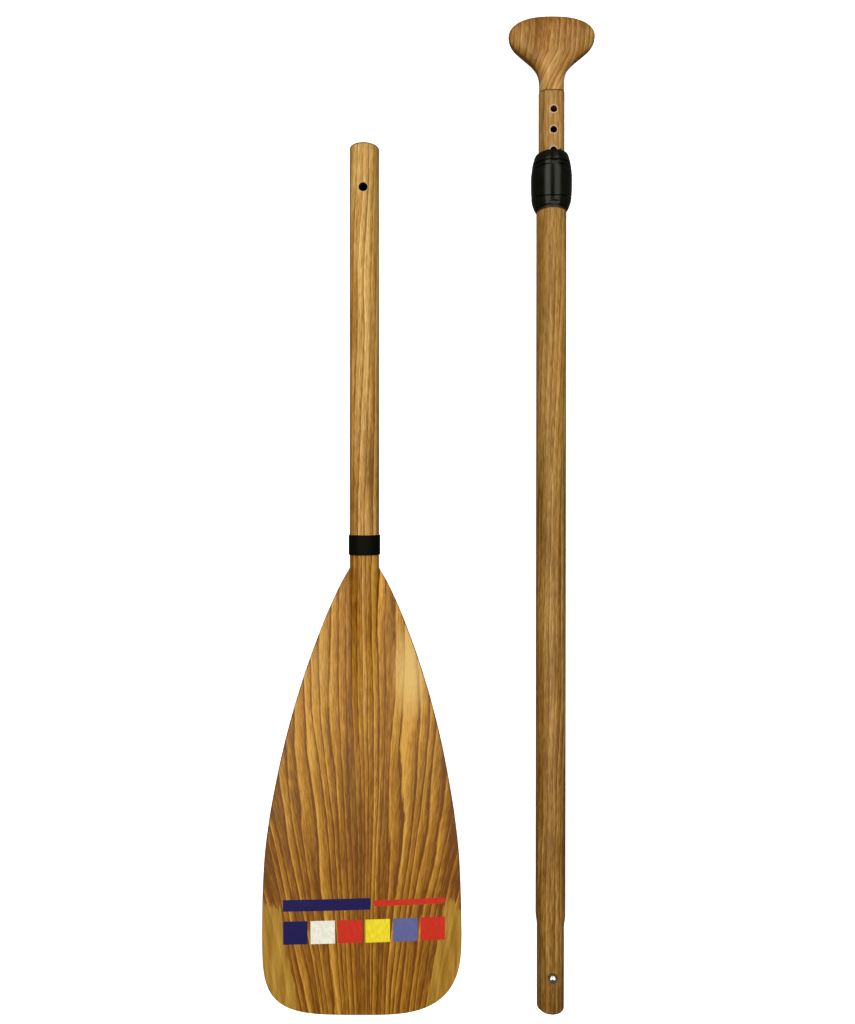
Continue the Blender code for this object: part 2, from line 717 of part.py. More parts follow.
def make_grip(frame):
    columns = [[(row[0], row[k]) for row in GRIP_STATIONS] for k in (1, 2, 3)]
    first, last = GRIP_STATIONS[0][0], GRIP_STATIONS[-1][0]
    rings = []
    for i in range(GRIP_STEPS + 1):
        z = first + (last - first) * i / GRIP_STEPS
        rings.append(grip_ring(z, *(smooth_through(column, z) for column in columns)))
    _, wide, deep, power = GRIP_STATIONS[-1]
    for i in range(1, GRIP_TOP_STEPS + 1):
        t = math.sin(math.radians(GRIP_TOP_ANGLE * i / GRIP_TOP_STEPS))
        share = (1 - t**GRIP_END_POWER) ** (1 / GRIP_END_POWER)
        thin = (1 - t**2) ** 0.5
        rings.append(grip_ring(last + (GRIP_TOP_Z - last) * t, wide * share, deep * thin, power))
    grip = lofted("grip", rings, frame, WOOD_PRINT_PALE)
    saddle_z = EXTENSION_Z[1] - SADDLE_R
    saddle_r = SADDLE_R + GAP
    saddle = rod("grip_saddle", frame, (0, 0, saddle_z), saddle_r, SADDLE_WIDTH, "x", segments=96)
    boolean(grip, saddle, "DIFFERENCE")
    stub_profile = disc_profile(GRIP_STUB_R, GRIP_STUB_END_Z, first + GRIP_STUB_OVERLAP)
    stub = turned("grip_stub", stub_profile, False, frame)
    boolean(grip, stub, "UNION")


def make_upper_section():
    frame = section_frame("upper_section", UPPER_SECTION_X, UPPER_AXIS_HEIGHT, TILT)
    make_main_shaft(frame)
    make_snap_button(frame)
    make_button_spring(frame)
    make_collar(frame)
    make_lever(frame)
    make_extension(frame)
    make_grip(frame)


make_blade_section()
make_upper_section()
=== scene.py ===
"""Looks of the single blade paddle: finer shapes and wood-print, plastic and steel materials.

Pieces are modelled in the frame of the section that they belong to: z along the shaft towards
the grip, x to the right and -y to the front, which faces up. Distances are in metres.
"""

import json
import math

import bmesh
import bpy
import numpy as np
from mathutils import Matrix, Vector


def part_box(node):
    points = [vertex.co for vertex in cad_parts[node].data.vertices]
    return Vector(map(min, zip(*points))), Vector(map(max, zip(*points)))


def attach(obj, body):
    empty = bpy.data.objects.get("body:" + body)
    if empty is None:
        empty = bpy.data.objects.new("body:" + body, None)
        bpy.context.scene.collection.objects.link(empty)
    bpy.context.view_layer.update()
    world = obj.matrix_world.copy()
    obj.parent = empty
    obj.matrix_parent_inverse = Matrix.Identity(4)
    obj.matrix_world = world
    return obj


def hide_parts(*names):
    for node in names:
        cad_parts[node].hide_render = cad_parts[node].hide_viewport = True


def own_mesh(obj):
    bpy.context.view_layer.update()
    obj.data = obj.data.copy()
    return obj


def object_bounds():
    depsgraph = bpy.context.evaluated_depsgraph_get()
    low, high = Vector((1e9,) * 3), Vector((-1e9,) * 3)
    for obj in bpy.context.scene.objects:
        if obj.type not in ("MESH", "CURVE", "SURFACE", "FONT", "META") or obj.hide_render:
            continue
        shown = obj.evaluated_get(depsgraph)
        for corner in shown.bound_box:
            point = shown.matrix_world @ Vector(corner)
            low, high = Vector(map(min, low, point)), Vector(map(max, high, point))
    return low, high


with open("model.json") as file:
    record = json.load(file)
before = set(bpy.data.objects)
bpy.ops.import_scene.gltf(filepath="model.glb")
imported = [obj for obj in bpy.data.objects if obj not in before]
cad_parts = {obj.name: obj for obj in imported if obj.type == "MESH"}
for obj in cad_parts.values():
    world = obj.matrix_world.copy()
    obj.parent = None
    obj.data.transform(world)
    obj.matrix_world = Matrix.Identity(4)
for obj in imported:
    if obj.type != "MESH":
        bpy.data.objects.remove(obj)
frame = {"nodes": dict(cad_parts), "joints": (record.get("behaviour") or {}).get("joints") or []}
CAD_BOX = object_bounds()
JOINTS = {joint["name"]: joint for joint in frame["joints"]}

# Tubes and their holes
TUBE_R = 0.0148
TUBE_BORE_R = 0.0137
SPIGOT_R = 0.0135
SPIGOT_BORE_R = 0.0124
EXTENSION_R = 0.01275
EXTENSION_BORE_R = 0.01165
LIP = 0.0003  # rounding of a tube's cut ends
BAND_LIP = 0.0005
BUTTON_HOLE_FROM_MOUTH = 0.0440
BUTTON_HOLE_R = 0.0045
BUTTON_Z = -0.4470
BUTTON_R = 0.0041
BUTTON_SHOULDER = 0.0152
BUTTON_TOP = 0.0173
BUTTON_FLANGE_R = 0.0052
BUTTON_FLANGE_FRONT = (0.0096, 0.0109)
BUTTON_SIDES = 64
DOME_STEPS = 12
MAIN_TOP_Z = 0.3435
SPIGOT_END_Z = -0.4835
SPRING_HALF = (0.0030, 0.00035)  # half width and half thickness
SPRING_PATH = (  # (along the shaft from the button, front)
    (-0.0050, 0.0086),
    (0.0050, 0.0086),
    (0.0200, 0.0065),
    (0.0245, 0.0035),
    (0.0262, 0.0),
    (0.0245, -0.0040),
    (0.0180, -0.0085),
    (0.0060, -0.0112),
    (-0.0060, -0.0112),
)
SHOULDER_Z = (-0.4010, -0.3920)
EXTENSION_LOW_Z = -0.0750
EXTENSION_TOP_Z = 0.4267
HOLE_CUTTER = 0.0080  # how long a cutter through a tube's wall is
PEG_HOLE_CUTTER = 0.0040
ROW_CUTTER = 0.0060
FIRST_HOLE_Z = 0.4050
HOLE_PITCH = 0.0200
HOLE_COUNT = 21
HOLE_R = 0.0034
SADDLE_R = 0.0270  # the grip meets the extension along a shallow saddle
SADDLE_WIDTH = 0.0360
KEEPER = (0.0200, 0.0265)  # half width and half depth of the shape that keeps the extension
SPARE = 0.0030  # extra length that the saddle then cuts off
GAP = 0.0003
TUBE_SIDES = 128

# Blade outline: (distance below the neck, half width), then a rounded lower end
NECK_R = 0.0146
STUB_R = 0.0134
STUB_TOP_Z = 0.0180
NECK_TOP_Z = -0.0223
NECK_END_Z = -0.0440
BLADE_STATIONS = (
    (0.000, 0.0146),
    (0.014, 0.0226),
    (0.034, 0.0321),
    (0.054, 0.0406),
    (0.095, 0.0557),
    (0.135, 0.0682),
    (0.176, 0.0789),
    (0.216, 0.0873),
    (0.257, 0.0943),
    (0.298, 0.0989),
    (0.339, 0.1008),
    (0.371, 0.1015),
)
BLADE_END_LENGTH = 0.0870
BLADE_END_POWER_LEFT = 4.1
BLADE_END_POWER_RIGHT = 3.0
BLADE_LENGTH = BLADE_STATIONS[-1][0] + BLADE_END_LENGTH
BLADE_LEAN = 0.0037
BLADE_DROP = 0.0137
BLADE_DROP_POWER = 1.3
BLADE_EDGE_HALF = 0.0013
BLADE_CORE_HALF = 0.0026
SPINE_LENGTH = 0.3100

# Barrel collar: (z, outer radius)
BARREL = (
    (0.3112, 0.0162),
    (0.3126, 0.0169),
    (0.3156, 0.0181),
    (0.3185, 0.0190),
    (0.3215, 0.0196),
    (0.3260, 0.0199),
    (0.3360, 0.0202),
    (0.3440, 0.0202),
    (0.3480, 0.0198),
    (0.3520, 0.0193),
    (0.3550, 0.0189),
    (0.3580, 0.0182),
    (0.3610, 0.0174),
    (0.3634, 0.0167),
    (0.3642, 0.0160),
)
COLLAR_BORE_R = TUBE_R + GAP
CAP_BORE_R = EXTENSION_R + GAP
CAP_SPLIT_Z = 0.3535
GROOVE = 0.0012  # opened a little wider than the frame's, to read as a dark line
SLANT_Z = 0.3243
SLANT_ANGLE = math.atan(0.31)
SLANT_BLOCK = 0.0600
BASE_TOP_Z = 0.3330  # before the slanted cut, as is the sleeve's lower end
SLEEVE_LOW_Z = 0.3160
LEVER_SPLIT_FRONT = 0.0060
LEVER_TOP_Z = 0.3486
LEVER_LOW_Z = 0.3130
LEVER_INNER_R = 0.0156
LEVER_GAP = 0.0004
LEVER_SWING_GAP = 0.0008
TONGUE_HALF_WIDTH = 0.0032
TONGUE_INSET = 0.0001
TONGUE_OVERLAP = 0.0006
TONGUE_RISE = 0.0003
LEVER_BORE_LENGTH = 0.0100
KNUCKLE_R = 0.0018
PIN_R = 0.0009
PIN_HALF_LENGTH = 0.0058
PIN_CLEARANCE = 0.0002
PIVOT_FRONT = 0.0175
PIVOT_Z = 0.3512
PEG_Z = FIRST_HOLE_Z - 4 * HOLE_PITCH
PEG_R = 0.0028
PEG_TIP_FRONT = 0.0113
PEG_FOOT_FRONT = 0.0176
PEG_CHAMFER = 0.0006
PEG_SOCKET_SPARE = 0.0010
NOTCH_Z = 0.3105
NOTCH_FRONT = 0.0207
NOTCH_R = 0.0051
NOTCH_WIDTH = 0.0250
NUB = (0.0062, 0.0139)
NUB_R = 0.0009
NUB_LENGTH = 0.0030
CUT_LOW_Z = 0.3050
CUT_HIGH_Z = 0.3600
CUT_FRONT = 0.0300
CUT_SIDE = 0.0250

# Grip: (z, half width, half depth, roundness power of the section)
GRIP_STATIONS = (
    (0.4180, 0.01230, 0.01230, 2.0),
    (0.4300, 0.01225, 0.01225, 2.0),
    (0.4370, 0.01230, 0.01225, 2.0),
    (0.4425, 0.01300, 0.01225, 2.0),
    (0.4475, 0.01450, 0.01220, 2.1),
    (0.4530, 0.01800, 0.01215, 2.2),
    (0.4590, 0.02420, 0.01210, 2.3),
    (0.4650, 0.03180, 0.01210, 2.4),
    (0.4710, 0.03840, 0.01200, 2.5),
    (0.4770, 0.04190, 0.01180, 2.5),
    (0.4825, 0.04290, 0.01140, 2.5),
)
GRIP_TOP_Z = 0.5020
GRIP_END_POWER = 2.2
GRIP_SIDES = 144
GRIP_STUB_END_Z = 0.4130
GRIP_STUB_OVERLAP = 0.0200


def srgb(red, green, blue):
    """A colour given as the usual 0 to 255 values, in the linear values that shaders take."""

    def linear(value):
        share = value / 255
        return share / 12.92 if share <= 0.04045 else ((share + 0.055) / 1.055) ** 2.4

    return (linear(red), linear(green), linear(blue), 1.0)


# Where the two sections lie


def blade_matrix():
    low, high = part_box("lower_shaft")
    turn = Matrix.Rotation(-math.pi / 2, 4, "X")
    band_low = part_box("seam_band")[0]
    band_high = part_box("seam_band")[1]
    height = (band_low.z + band_high.z) / 2
    return Matrix.Translation(((low.x + high.x) / 2, 0.0, height)) @ turn


def upper_matrix():
    along = Vector(JOINTS["extension_slide"]["axis"]).normalized()
    front = Vector(JOINTS["button_press"]["axis"]).normalized() * -1
    pivot = Vector(JOINTS["lever_hinge"]["pos_m"])
    origin = pivot - PIVOT_FRONT * front - PIVOT_Z * along
    across = along.cross(front)
    made = Matrix((across, -front, along)).transposed().to_4x4()
    made.translation = origin
    return made


SECTION = {"blade": blade_matrix(), "upper": upper_matrix()}


# Mesh helpers


def add_object(name, mesh, section):
    made = bpy.data.objects.new(name, mesh)
    made.matrix_world = SECTION[section]
    bpy.context.scene.collection.objects.link(made)
    return made


def grid_mesh(name, rows, around, cap_low=False, cap_high=False, close_rows=False):
    """Joins rows of points into a skin. around closes each row on itself."""
    count = len(rows[0])
    points = [p for row in rows for p in row]
    faces = []
    row_pairs = len(rows) if close_rows else len(rows) - 1
    for r in range(row_pairs):
        below, above = r * count, ((r + 1) % len(rows)) * count
        for i in range(count if around else count - 1):
            j = (i + 1) % count
            faces.append((below + i, below + j, above + j, above + i))
    if cap_low:
        faces.append(tuple(reversed(range(count))))
    if cap_high:
        last = (len(rows) - 1) * count
        faces.append(tuple(range(last, last + count)))
    mesh = bpy.data.meshes.new(name)
    mesh.from_pydata(points, [], faces)
    shape = bmesh.new()
    shape.from_mesh(mesh)
    bmesh.ops.remove_doubles(shape, verts=shape.verts, dist=0.000001)
    bmesh.ops.recalc_face_normals(shape, faces=shape.faces)
    shape.to_mesh(mesh)
    shape.free()
    return mesh


def lathe(name, profile, section, closed=True, sides=TUBE_SIDES):
    """Turns a profile of (radius, z) about the z axis. A closed profile makes a ring."""
    rows = []
    for radius, z in profile:
        row = []
        for i in range(sides):
            angle = 2 * math.pi * i / sides
            row.append((radius * math.cos(angle), radius * math.sin(angle), z))
        rows.append(row)
    mesh = grid_mesh(name, rows, True, close_rows=closed)
    return add_object(name, mesh, section)


def block(name, low, high, section):
    """A box between two corners given as (x, front, z)."""
    shape = bmesh.new()
    bmesh.ops.create_cube(shape, size=1.0)
    size = [b - a for a, b in zip(low, high)]
    middle = [(a + b) / 2 for a, b in zip(low, high)]
    bmesh.ops.scale(shape, vec=size, verts=shape.verts)
    bmesh.ops.translate(shape, vec=(middle[0], -middle[1], middle[2]), verts=shape.verts)
    mesh = bpy.data.meshes.new(name)
    shape.to_mesh(mesh)
    shape.free()
    return add_object(name, mesh, section)


def rod(name, centre, radius, length, along, section, top_radius=None, sides=64):
    """A cylinder or cone about a centre given as (x, front, z), along 'x', 'z' or 'front'."""
    shape = bmesh.new()
    second = radius if top_radius is None else top_radius
    bmesh.ops.create_cone(
        shape, cap_ends=True, segments=sides, radius1=radius, radius2=second, depth=length
    )
    turns = {
        "x": Matrix.Rotation(math.pi / 2, 4, "Y"),
        "z": Matrix.Identity(4),
        "front": Matrix.Rotation(math.pi / 2, 4, "X"),
    }
    place = Matrix.Translation((centre[0], -centre[1], centre[2])) @ turns[along]
    bmesh.ops.transform(shape, matrix=place, verts=shape.verts)
    mesh = bpy.data.meshes.new(name)
    shape.to_mesh(mesh)
    shape.free()
    return add_object(name, mesh, section)


def applied(piece):
    """Turns a piece's modifiers into its own mesh."""
    graph = bpy.context.evaluated_depsgraph_get()
    mesh = bpy.data.meshes.new_from_object(piece.evaluated_get(graph))
    piece.modifiers.clear()
    piece.data = mesh
    return piece


def boolean(piece, other, operation):
    """Joins, cuts or keeps with another shape, which is then removed."""
    made = piece.modifiers.new(operation, "BOOLEAN")
    made.object = other
    made.operation = operation
    made.solver = "EXACT"
    bpy.context.view_layer.update()
    applied(piece)
    bpy.data.objects.remove(other)
    return piece


def soften(piece, width=0.0002, angle=35):
    """Rounds a piece's sharp edges and shades the rest smooth."""
    made = piece.modifiers.new("soften", "BEVEL")
    made.width = width
    made.segments = 2
    made.limit_method = "ANGLE"
    made.angle_limit = math.radians(angle)
    made.use_clamp_overlap = True
    bpy.context.view_layer.update()
    smooth(applied(piece))
    even = piece.modifiers.new("even", "WEIGHTED_NORMAL")
    even.mode = "FACE_AREA_WITH_ANGLE"
    even.keep_sharp = True
    bpy.context.view_layer.update()
    return applied(piece)


def smooth(piece, angle=40):
    piece.data.shade_smooth()
    piece.data.set_sharp_from_angle(angle=math.radians(angle))
    return piece


def smooth_through(stations, at):
    """Reads a smooth curve through (position, value) stations, without overshoot."""
    xs = [s[0] for s in stations]
    ys = [s[1] for s in stations]
    rises = [(ys[i + 1] - ys[i]) / (xs[i + 1] - xs[i]) for i in range(len(xs) - 1)]
    slopes = [rises[0]]
    for before, after in zip(rises, rises[1:]):
        same_way = before * after > 0
        slopes.append(2 * before * after / (before + after) if same_way else 0.0)
    slopes.append(rises[-1])
    at = min(max(at, xs[0]), xs[-1])
    i = max(k for k in range(len(xs) - 1) if xs[k] <= at)
    width = xs[i + 1] - xs[i]
    t = (at - xs[i]) / width
    return (
        (2 * t**3 - 3 * t**2 + 1) * ys[i]
        + (t**3 - 2 * t**2 + t) * width * slopes[i]
        + (3 * t**2 - 2 * t**3) * ys[i + 1]
        + (t**3 - t**2) * width * slopes[i + 1]
    )


def ease(low, high, at):
    """0 below low, 1 above high, and a smooth step between."""
    t = min(max((at - low) / (high - low), 0.0), 1.0)
    return t * t * (3 - 2 * t)


def store_grain(piece, rule):
    """Stores each point's place in the print's grain, its growth ring, and how light it is."""
    mesh = piece.data
    mesh.attributes.new("grain", "FLOAT_VECTOR", "POINT")
    mesh.attributes.new("ring", "FLOAT", "POINT")
    mesh.attributes.new("tone", "FLOAT", "POINT")
    places, rings, tones = [], [], []
    for vertex in mesh.vertices:
        place, ring, light = rule(*vertex.co)
        places.extend(place)
        rings.append(ring)
        tones.append(light)
    mesh.attributes["grain"].data.foreach_set("vector", places)
    mesh.attributes["ring"].data.foreach_set("value", rings)
    mesh.attributes["tone"].data.foreach_set("value", tones)
    return piece


def finish_piece(piece, body, slot, material, *replaced):
    piece.data.materials.clear()
    piece.data.materials.append(material)
    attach(piece, body)
    if replaced:
        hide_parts(*replaced)
    return piece


# Material helpers


class Tree:
    """A material's nodes, added one call at a time."""

    def __init__(self, name):
        self.material = bpy.data.materials.new(name)
        self.material.use_nodes = True
        self.nodes = self.material.node_tree.nodes
        self.links = self.material.node_tree.links
        self.shader = self.nodes["Principled BSDF"]

    def add(self, kind, values=(), **settings):
        """Adds a node. values are (socket name or number, value or output) pairs."""
        made = self.nodes.new(kind)
        for key, value in settings.items():
            setattr(made, key, value)
        for key, value in values:
            self.put(made, key, value)
        return made

    def put(self, to, key, value):
        if isinstance(value, bpy.types.NodeSocket):
            self.links.new(value, to.inputs[key])
        else:
            to.inputs[key].default_value = value

    def math(self, operation, *values, clamp=False):
        pairs = list(enumerate(values))
        made = self.add("ShaderNodeMath", pairs, operation=operation, use_clamp=clamp)
        return made.outputs[0]

    def vector(self, operation, *values):
        pairs = list(enumerate(values))
        return self.add("ShaderNodeVectorMath", pairs, operation=operation).outputs[0]

    def noise(self, coords, cells, detail=2.0, roughness=0.5, distortion=0.0, shift=0.0):
        """Noise with a cell of the given size along each direction."""
        scale = tuple(1 / c for c in cells)
        scaled = self.vector("MULTIPLY", coords, scale)
        moved = self.vector("ADD", scaled, (shift, shift * 0.7, shift * 1.3))
        values = [("Vector", moved), ("Scale", 1.0), ("Detail", detail)]
        values += [("Roughness", roughness), ("Distortion", distortion)]
        return self.add("ShaderNodeTexNoise", values)

    def ramp(self, factor, stops, interpolation="LINEAR"):
        made = self.add("ShaderNodeValToRGB", [("Fac", factor)])
        ramp = made.color_ramp
        ramp.interpolation = interpolation
        while len(ramp.elements) < len(stops):
            ramp.elements.new(0.5)
        for element, (place, colour) in zip(ramp.elements, stops):
            element.position = place
            element.color = colour
        return made.outputs["Color"]

    def mix(self, factor, one, two, blend="MIX"):
        made = self.add("ShaderNodeMix", data_type="RGBA", blend_type=blend)
        self.put(made, 0, factor)
        self.put(made, 6, one)
        self.put(made, 7, two)
        return made.outputs[2]

    def bump(self, height, strength, distance):
        values = [("Height", height), ("Strength", strength), ("Distance", distance)]
        self.put(self.shader, "Normal", self.add("ShaderNodeBump", values).outputs[0])

    def range(self, value, low, high, to_low, to_high):
        values = [(0, value), (1, low), (2, high), (3, to_low), (4, to_high)]
        return self.add("ShaderNodeMapRange", values, clamp=True).outputs[0]


def grey(value):
    return (value, value, value, 1.0)


RING_LINE = (  # how light the wood is along one growth ring, from one dark line to the next
    (0.00, 0.02),
    (0.06, 0.08),
    (0.11, 0.66),
    (0.18, 0.98),
    (0.32, 0.74),
    (0.62, 0.60),
    (0.84, 0.46),
    (0.94, 0.26),
    (1.00, 0.02),
)
RING_MIDDLE = 0.58


def wood_print(name, tones, contrast=1.0, line=0.9, stroke=0.9, shift=0.0, extra=None):
    """A printed wood film: growth lines, strokes and pores along the grain, under satin lacquer.

    tones is the dark, middle and light colour. line is the growth lines' strength and
    stroke that of the long soft streaks between them.
    extra(tree, colour) may change the colour before it is used.
    """
    dark, mid, light = tones
    tree = Tree(name)
    place = tree.add("ShaderNodeAttribute", attribute_name="grain").outputs["Vector"]
    ring = tree.add("ShaderNodeAttribute", attribute_name="ring").outputs["Fac"]
    tone = tree.add("ShaderNodeAttribute", attribute_name="tone").outputs["Fac"]

    def noise(wide, long, detail, number):
        made = tree.noise(place, (wide, wide, long), detail=detail, shift=shift + number)
        return tree.math("SUBTRACT", made.outputs["Fac"], 0.5)

    ring = tree.math("MULTIPLY_ADD", noise(0.045, 0.260, 1.0, 0), 3.4, ring)
    ring = tree.math("MULTIPLY_ADD", noise(0.011, 0.070, 1.0, 3), 0.55, ring)
    ring = tree.math("MULTIPLY_ADD", noise(0.0014, 0.012, 1.0, 5), 0.16, ring)
    along_ring = tree.math("FRACT", ring)
    number = tree.math("FLOOR", ring)
    own = tree.add("ShaderNodeTexWhiteNoise", [("W", number)], noise_dimensions="1D")
    own = own.outputs["Value"]
    stops = [(at, grey(value)) for at, value in RING_LINE]
    lines = tree.math("SUBTRACT", tree.ramp(along_ring, stops), RING_MIDDLE)
    strength = tree.math("MULTIPLY_ADD", own, 0.65, 0.35)
    lines = tree.math("MULTIPLY", lines, strength)

    total = tree.math("MULTIPLY", lines, line)
    total = tree.math("MULTIPLY_ADD", tree.math("SUBTRACT", own, 0.5), 0.22 * line, total)
    fine = noise(0.0009, 0.011, 2.0, 11)
    total = tree.math("MULTIPLY_ADD", noise(0.0026, 0.060, 2.0, 7), stroke, total)
    total = tree.math("MULTIPLY_ADD", fine, 1.15, total)
    total = tree.math("MULTIPLY_ADD", noise(0.020, 0.130, 2.0, 13), 0.75, total)
    total = tree.math("MULTIPLY_ADD", total, contrast, 0.5)
    total = tree.math("ADD", total, tone)
    colour = tree.ramp(total, [(0.05, dark), (0.5, mid), (0.95, light)])
    pores = noise(0.0007, 0.0070, 1.0, 17)
    colour = tree.mix(tree.range(pores, 0.10, 0.20, 0.0, 0.35), colour, dark)
    hue = tree.range(noise(0.016, 0.080, 1.0, 23), -0.12, 0.18, 0.0, 0.35)
    redder = tree.mix(1.0, colour, (1.06, 0.86, 0.72, 1.0), "MULTIPLY")
    colour = tree.mix(hue, colour, redder)
    if extra:
        colour = extra(tree, colour)
    tree.put(tree.shader, "Base Color", colour)
    tree.put(tree.shader, "Roughness", tree.range(fine, -0.2, 0.2, 0.38, 0.48))
    tree.put(tree.shader, "Specular IOR Level", 0.35)
    tree.put(tree.shader, "Specular Tint", (1.0, 0.88, 0.62, 1.0))
    tree.bump(total, 0.08, 0.00012)
    return tree.material


def print_ends(cuts):
    """Returns a rule for wood_print: worn, darker film at a tube's cut ends (a list of z)."""

    def extra(tree, colour):
        z = tree.add("ShaderNodeSeparateXYZ", [(0, object_place(tree))]).outputs[2]
        for cut in cuts:
            away = tree.math("ABSOLUTE", tree.math("SUBTRACT", z, cut))
            worn = tree.range(away, 0.0008, 0.0022, 0.80, 0.0)
            colour = tree.mix(worn, colour, srgb(88, 58, 26))
        return colour

    return extra


def joint_line(tree, colour):
    """The dark line where the grip meets the extension."""
    _, y, z = tree.add("ShaderNodeSeparateXYZ", [(0, object_place(tree))]).outputs
    square = tree.math("SUBTRACT", SADDLE_R**2, tree.math("MULTIPLY", y, y))
    height = tree.math("SQRT", tree.math("MAXIMUM", square, 0.0))
    height = tree.math("ADD", height, EXTENSION_TOP_Z - SADDLE_R)
    away = tree.math("ABSOLUTE", tree.math("SUBTRACT", z, height))
    dark = tree.range(away, 0.0003, 0.0011, 0.80, 0.0)
    return tree.mix(dark, colour, srgb(58, 34, 10))


def object_place(tree):
    return tree.add("ShaderNodeTexCoord").outputs["Object"]


def main_extra(tree, colour):
    """A worn cut end, and painted shadow: the shaft darkened just below the collar's lower rim and
    where the collar covers it.
    """
    colour = print_ends([SPIGOT_END_Z])(tree, colour)
    z = tree.add("ShaderNodeSeparateXYZ", [(0, object_place(tree))]).outputs[2]
    # Painted shadow of the collar: a dark ring on the shaft below the collar's lower rim, and dark
    # under the collar.
    painted_collar_shadow = tree.range(z, BARREL[0][0] - 0.0034, BARREL[0][0] - 0.0026, 0.0, 0.98)
    return tree.mix(painted_collar_shadow, colour, srgb(22, 9, 6))


def painted_bore_shade(tree, colour, bore_r):
    """Painted shade on the wall inside a tube's bore."""
    x, y, _ = tree.add("ShaderNodeSeparateXYZ", [(0, object_place(tree))]).outputs
    square = tree.math("MULTIPLY", x, x)
    square = tree.math("MULTIPLY_ADD", y, y, square)
    inside = tree.math("LESS_THAN", square, (bore_r + 0.0003) ** 2)
    return tree.mix(inside, colour, srgb(50, 26, 20))


def bare_rims(tree, colour, first_z, pitch, count, radius, rim):
    """Bare metal around a row of holes in the front, where the film was cut back."""
    split = tree.add("ShaderNodeSeparateXYZ", [(0, object_place(tree))])
    x, y, z = split.outputs
    low_z = first_z - (count - 1) * pitch
    steps = tree.math("DIVIDE", tree.math("SUBTRACT", z, low_z), pitch)
    nearest = tree.math("ROUND", steps)
    nearest = tree.math("MINIMUM", tree.math("MAXIMUM", nearest, 0.0), float(count - 1))
    along = tree.math("MULTIPLY", tree.math("SUBTRACT", steps, nearest), pitch)
    square = tree.math("MULTIPLY", x, x)
    square = tree.math("MULTIPLY_ADD", along, along, square)
    away = tree.math("SQRT", square)
    ring = tree.range(away, radius + rim - 0.0002, radius + rim + 0.0003, 1.0, 0.0)
    on_front = tree.math("LESS_THAN", y, 0.0)
    ring = tree.math("MULTIPLY", ring, on_front)
    return tree.mix(ring, colour, srgb(186, 150, 120))


def holes_extra(ends, bore_r, first_z, pitch, count, radius, rim):
    worn = print_ends(ends)

    def extra(tree, colour):
        colour = bare_rims(tree, worn(tree, colour), first_z, pitch, count, radius, rim)
        colour = painted_bore_shade(tree, colour, bore_r)
        return joint_line(tree, colour) if count > 1 else colour

    return extra


def black_plastic(name, low=srgb(5, 6, 2), high=srgb(10, 11, 5), roughness=0.23, shine=0.22):
    tree = Tree(name)
    place = object_place(tree)
    speck = tree.noise(place, (0.0004, 0.0004, 0.0004), detail=2.0).outputs["Fac"]
    cloud = tree.noise(place, (0.006, 0.006, 0.012), detail=3.0).outputs["Fac"]
    tree.put(tree.shader, "Base Color", tree.ramp(cloud, [(0.3, low), (0.7, high)]))
    rough = tree.range(cloud, 0.3, 0.7, roughness - 0.03, roughness + 0.04)
    tree.put(tree.shader, "Roughness", rough)
    tree.put(tree.shader, "Specular IOR Level", shine)
    tree.put(tree.shader, "Specular Tint", (1.0, 1.0, 0.86, 1.0))
    tree.bump(speck, 0.12, 0.00006)
    return tree.material


def steel(name, roughness=0.14):
    tree = Tree(name)
    place = object_place(tree)
    brushed = tree.noise(place, (0.0004, 0.0004, 0.006), detail=2.0).outputs["Fac"]
    colour = tree.ramp(brushed, [(0.3, srgb(176, 172, 166)), (0.7, srgb(214, 210, 203))])
    tree.put(tree.shader, "Base Color", colour)
    tree.put(tree.shader, "Metallic", 1.0)
    tree.put(tree.shader, "Roughness", tree.range(brushed, 0.3, 0.7, roughness, roughness + 0.10))
    return tree.material


def pale_plastic(name, low, high, cell, roughness):
    tree = Tree(name)
    grain = tree.noise(object_place(tree), (cell, cell, cell), detail=3.0).outputs["Fac"]
    tree.put(tree.shader, "Base Color", tree.ramp(grain, [(0.3, low), (0.7, high)]))
    tree.put(tree.shader, "Roughness", roughness)
    tree.bump(grain, 0.4, 0.0003)
    return tree.material


def film(name, colour):
    """Printed ink on the blade: flat colour, slightly mottled by the film beneath."""
    tree = Tree(name)
    mottle = tree.noise(object_place(tree), (0.002, 0.002, 0.006), detail=3.0).outputs["Fac"]
    shade = tuple(0.84 * c for c in colour[:3]) + (1.0,)
    tree.put(tree.shader, "Base Color", tree.ramp(mottle, [(0.35, shade), (0.65, colour)]))
    tree.put(tree.shader, "Roughness", 0.38)
    tree.put(tree.shader, "Specular IOR Level", 0.2)
    return tree.material


# Blade section


def blade_half_widths(s):
    """Left and right half widths at distance s below the neck."""
    widest_s, widest = BLADE_STATIONS[-1]
    lean = BLADE_LEAN * (1 - math.cos(math.pi * min(s / widest_s, 1.0))) / 2
    if s <= widest_s:
        half = smooth_through(BLADE_STATIONS, s)
        return half + lean, half - lean
    t = min((s - widest_s) / BLADE_END_LENGTH, 1.0)
    left = (1 - t**BLADE_END_POWER_LEFT) ** (1 / BLADE_END_POWER_LEFT)
    right = (1 - t**BLADE_END_POWER_RIGHT) ** (1 / BLADE_END_POWER_RIGHT)
    return (widest + lean) * left, (widest - lean) * right


def edge_distance(x, half, s):
    """About how far a point is from the blade's outline, measured square to it."""
    side = half - abs(x)
    widest_s = BLADE_STATIONS[-1][0]
    if s <= widest_s:
        return side
    t = min((s - widest_s) / BLADE_END_LENGTH, 1.0)
    full = half / max((1 - t**3.5) ** (1 / 3.5), 0.02)
    across = min(abs(x) / full, 1.0)
    below = BLADE_END_LENGTH * max((1 - across**3.5) ** (1 / 3.5) - t, 0.0)
    return side * below / max(math.hypot(side, below), 1e-9)


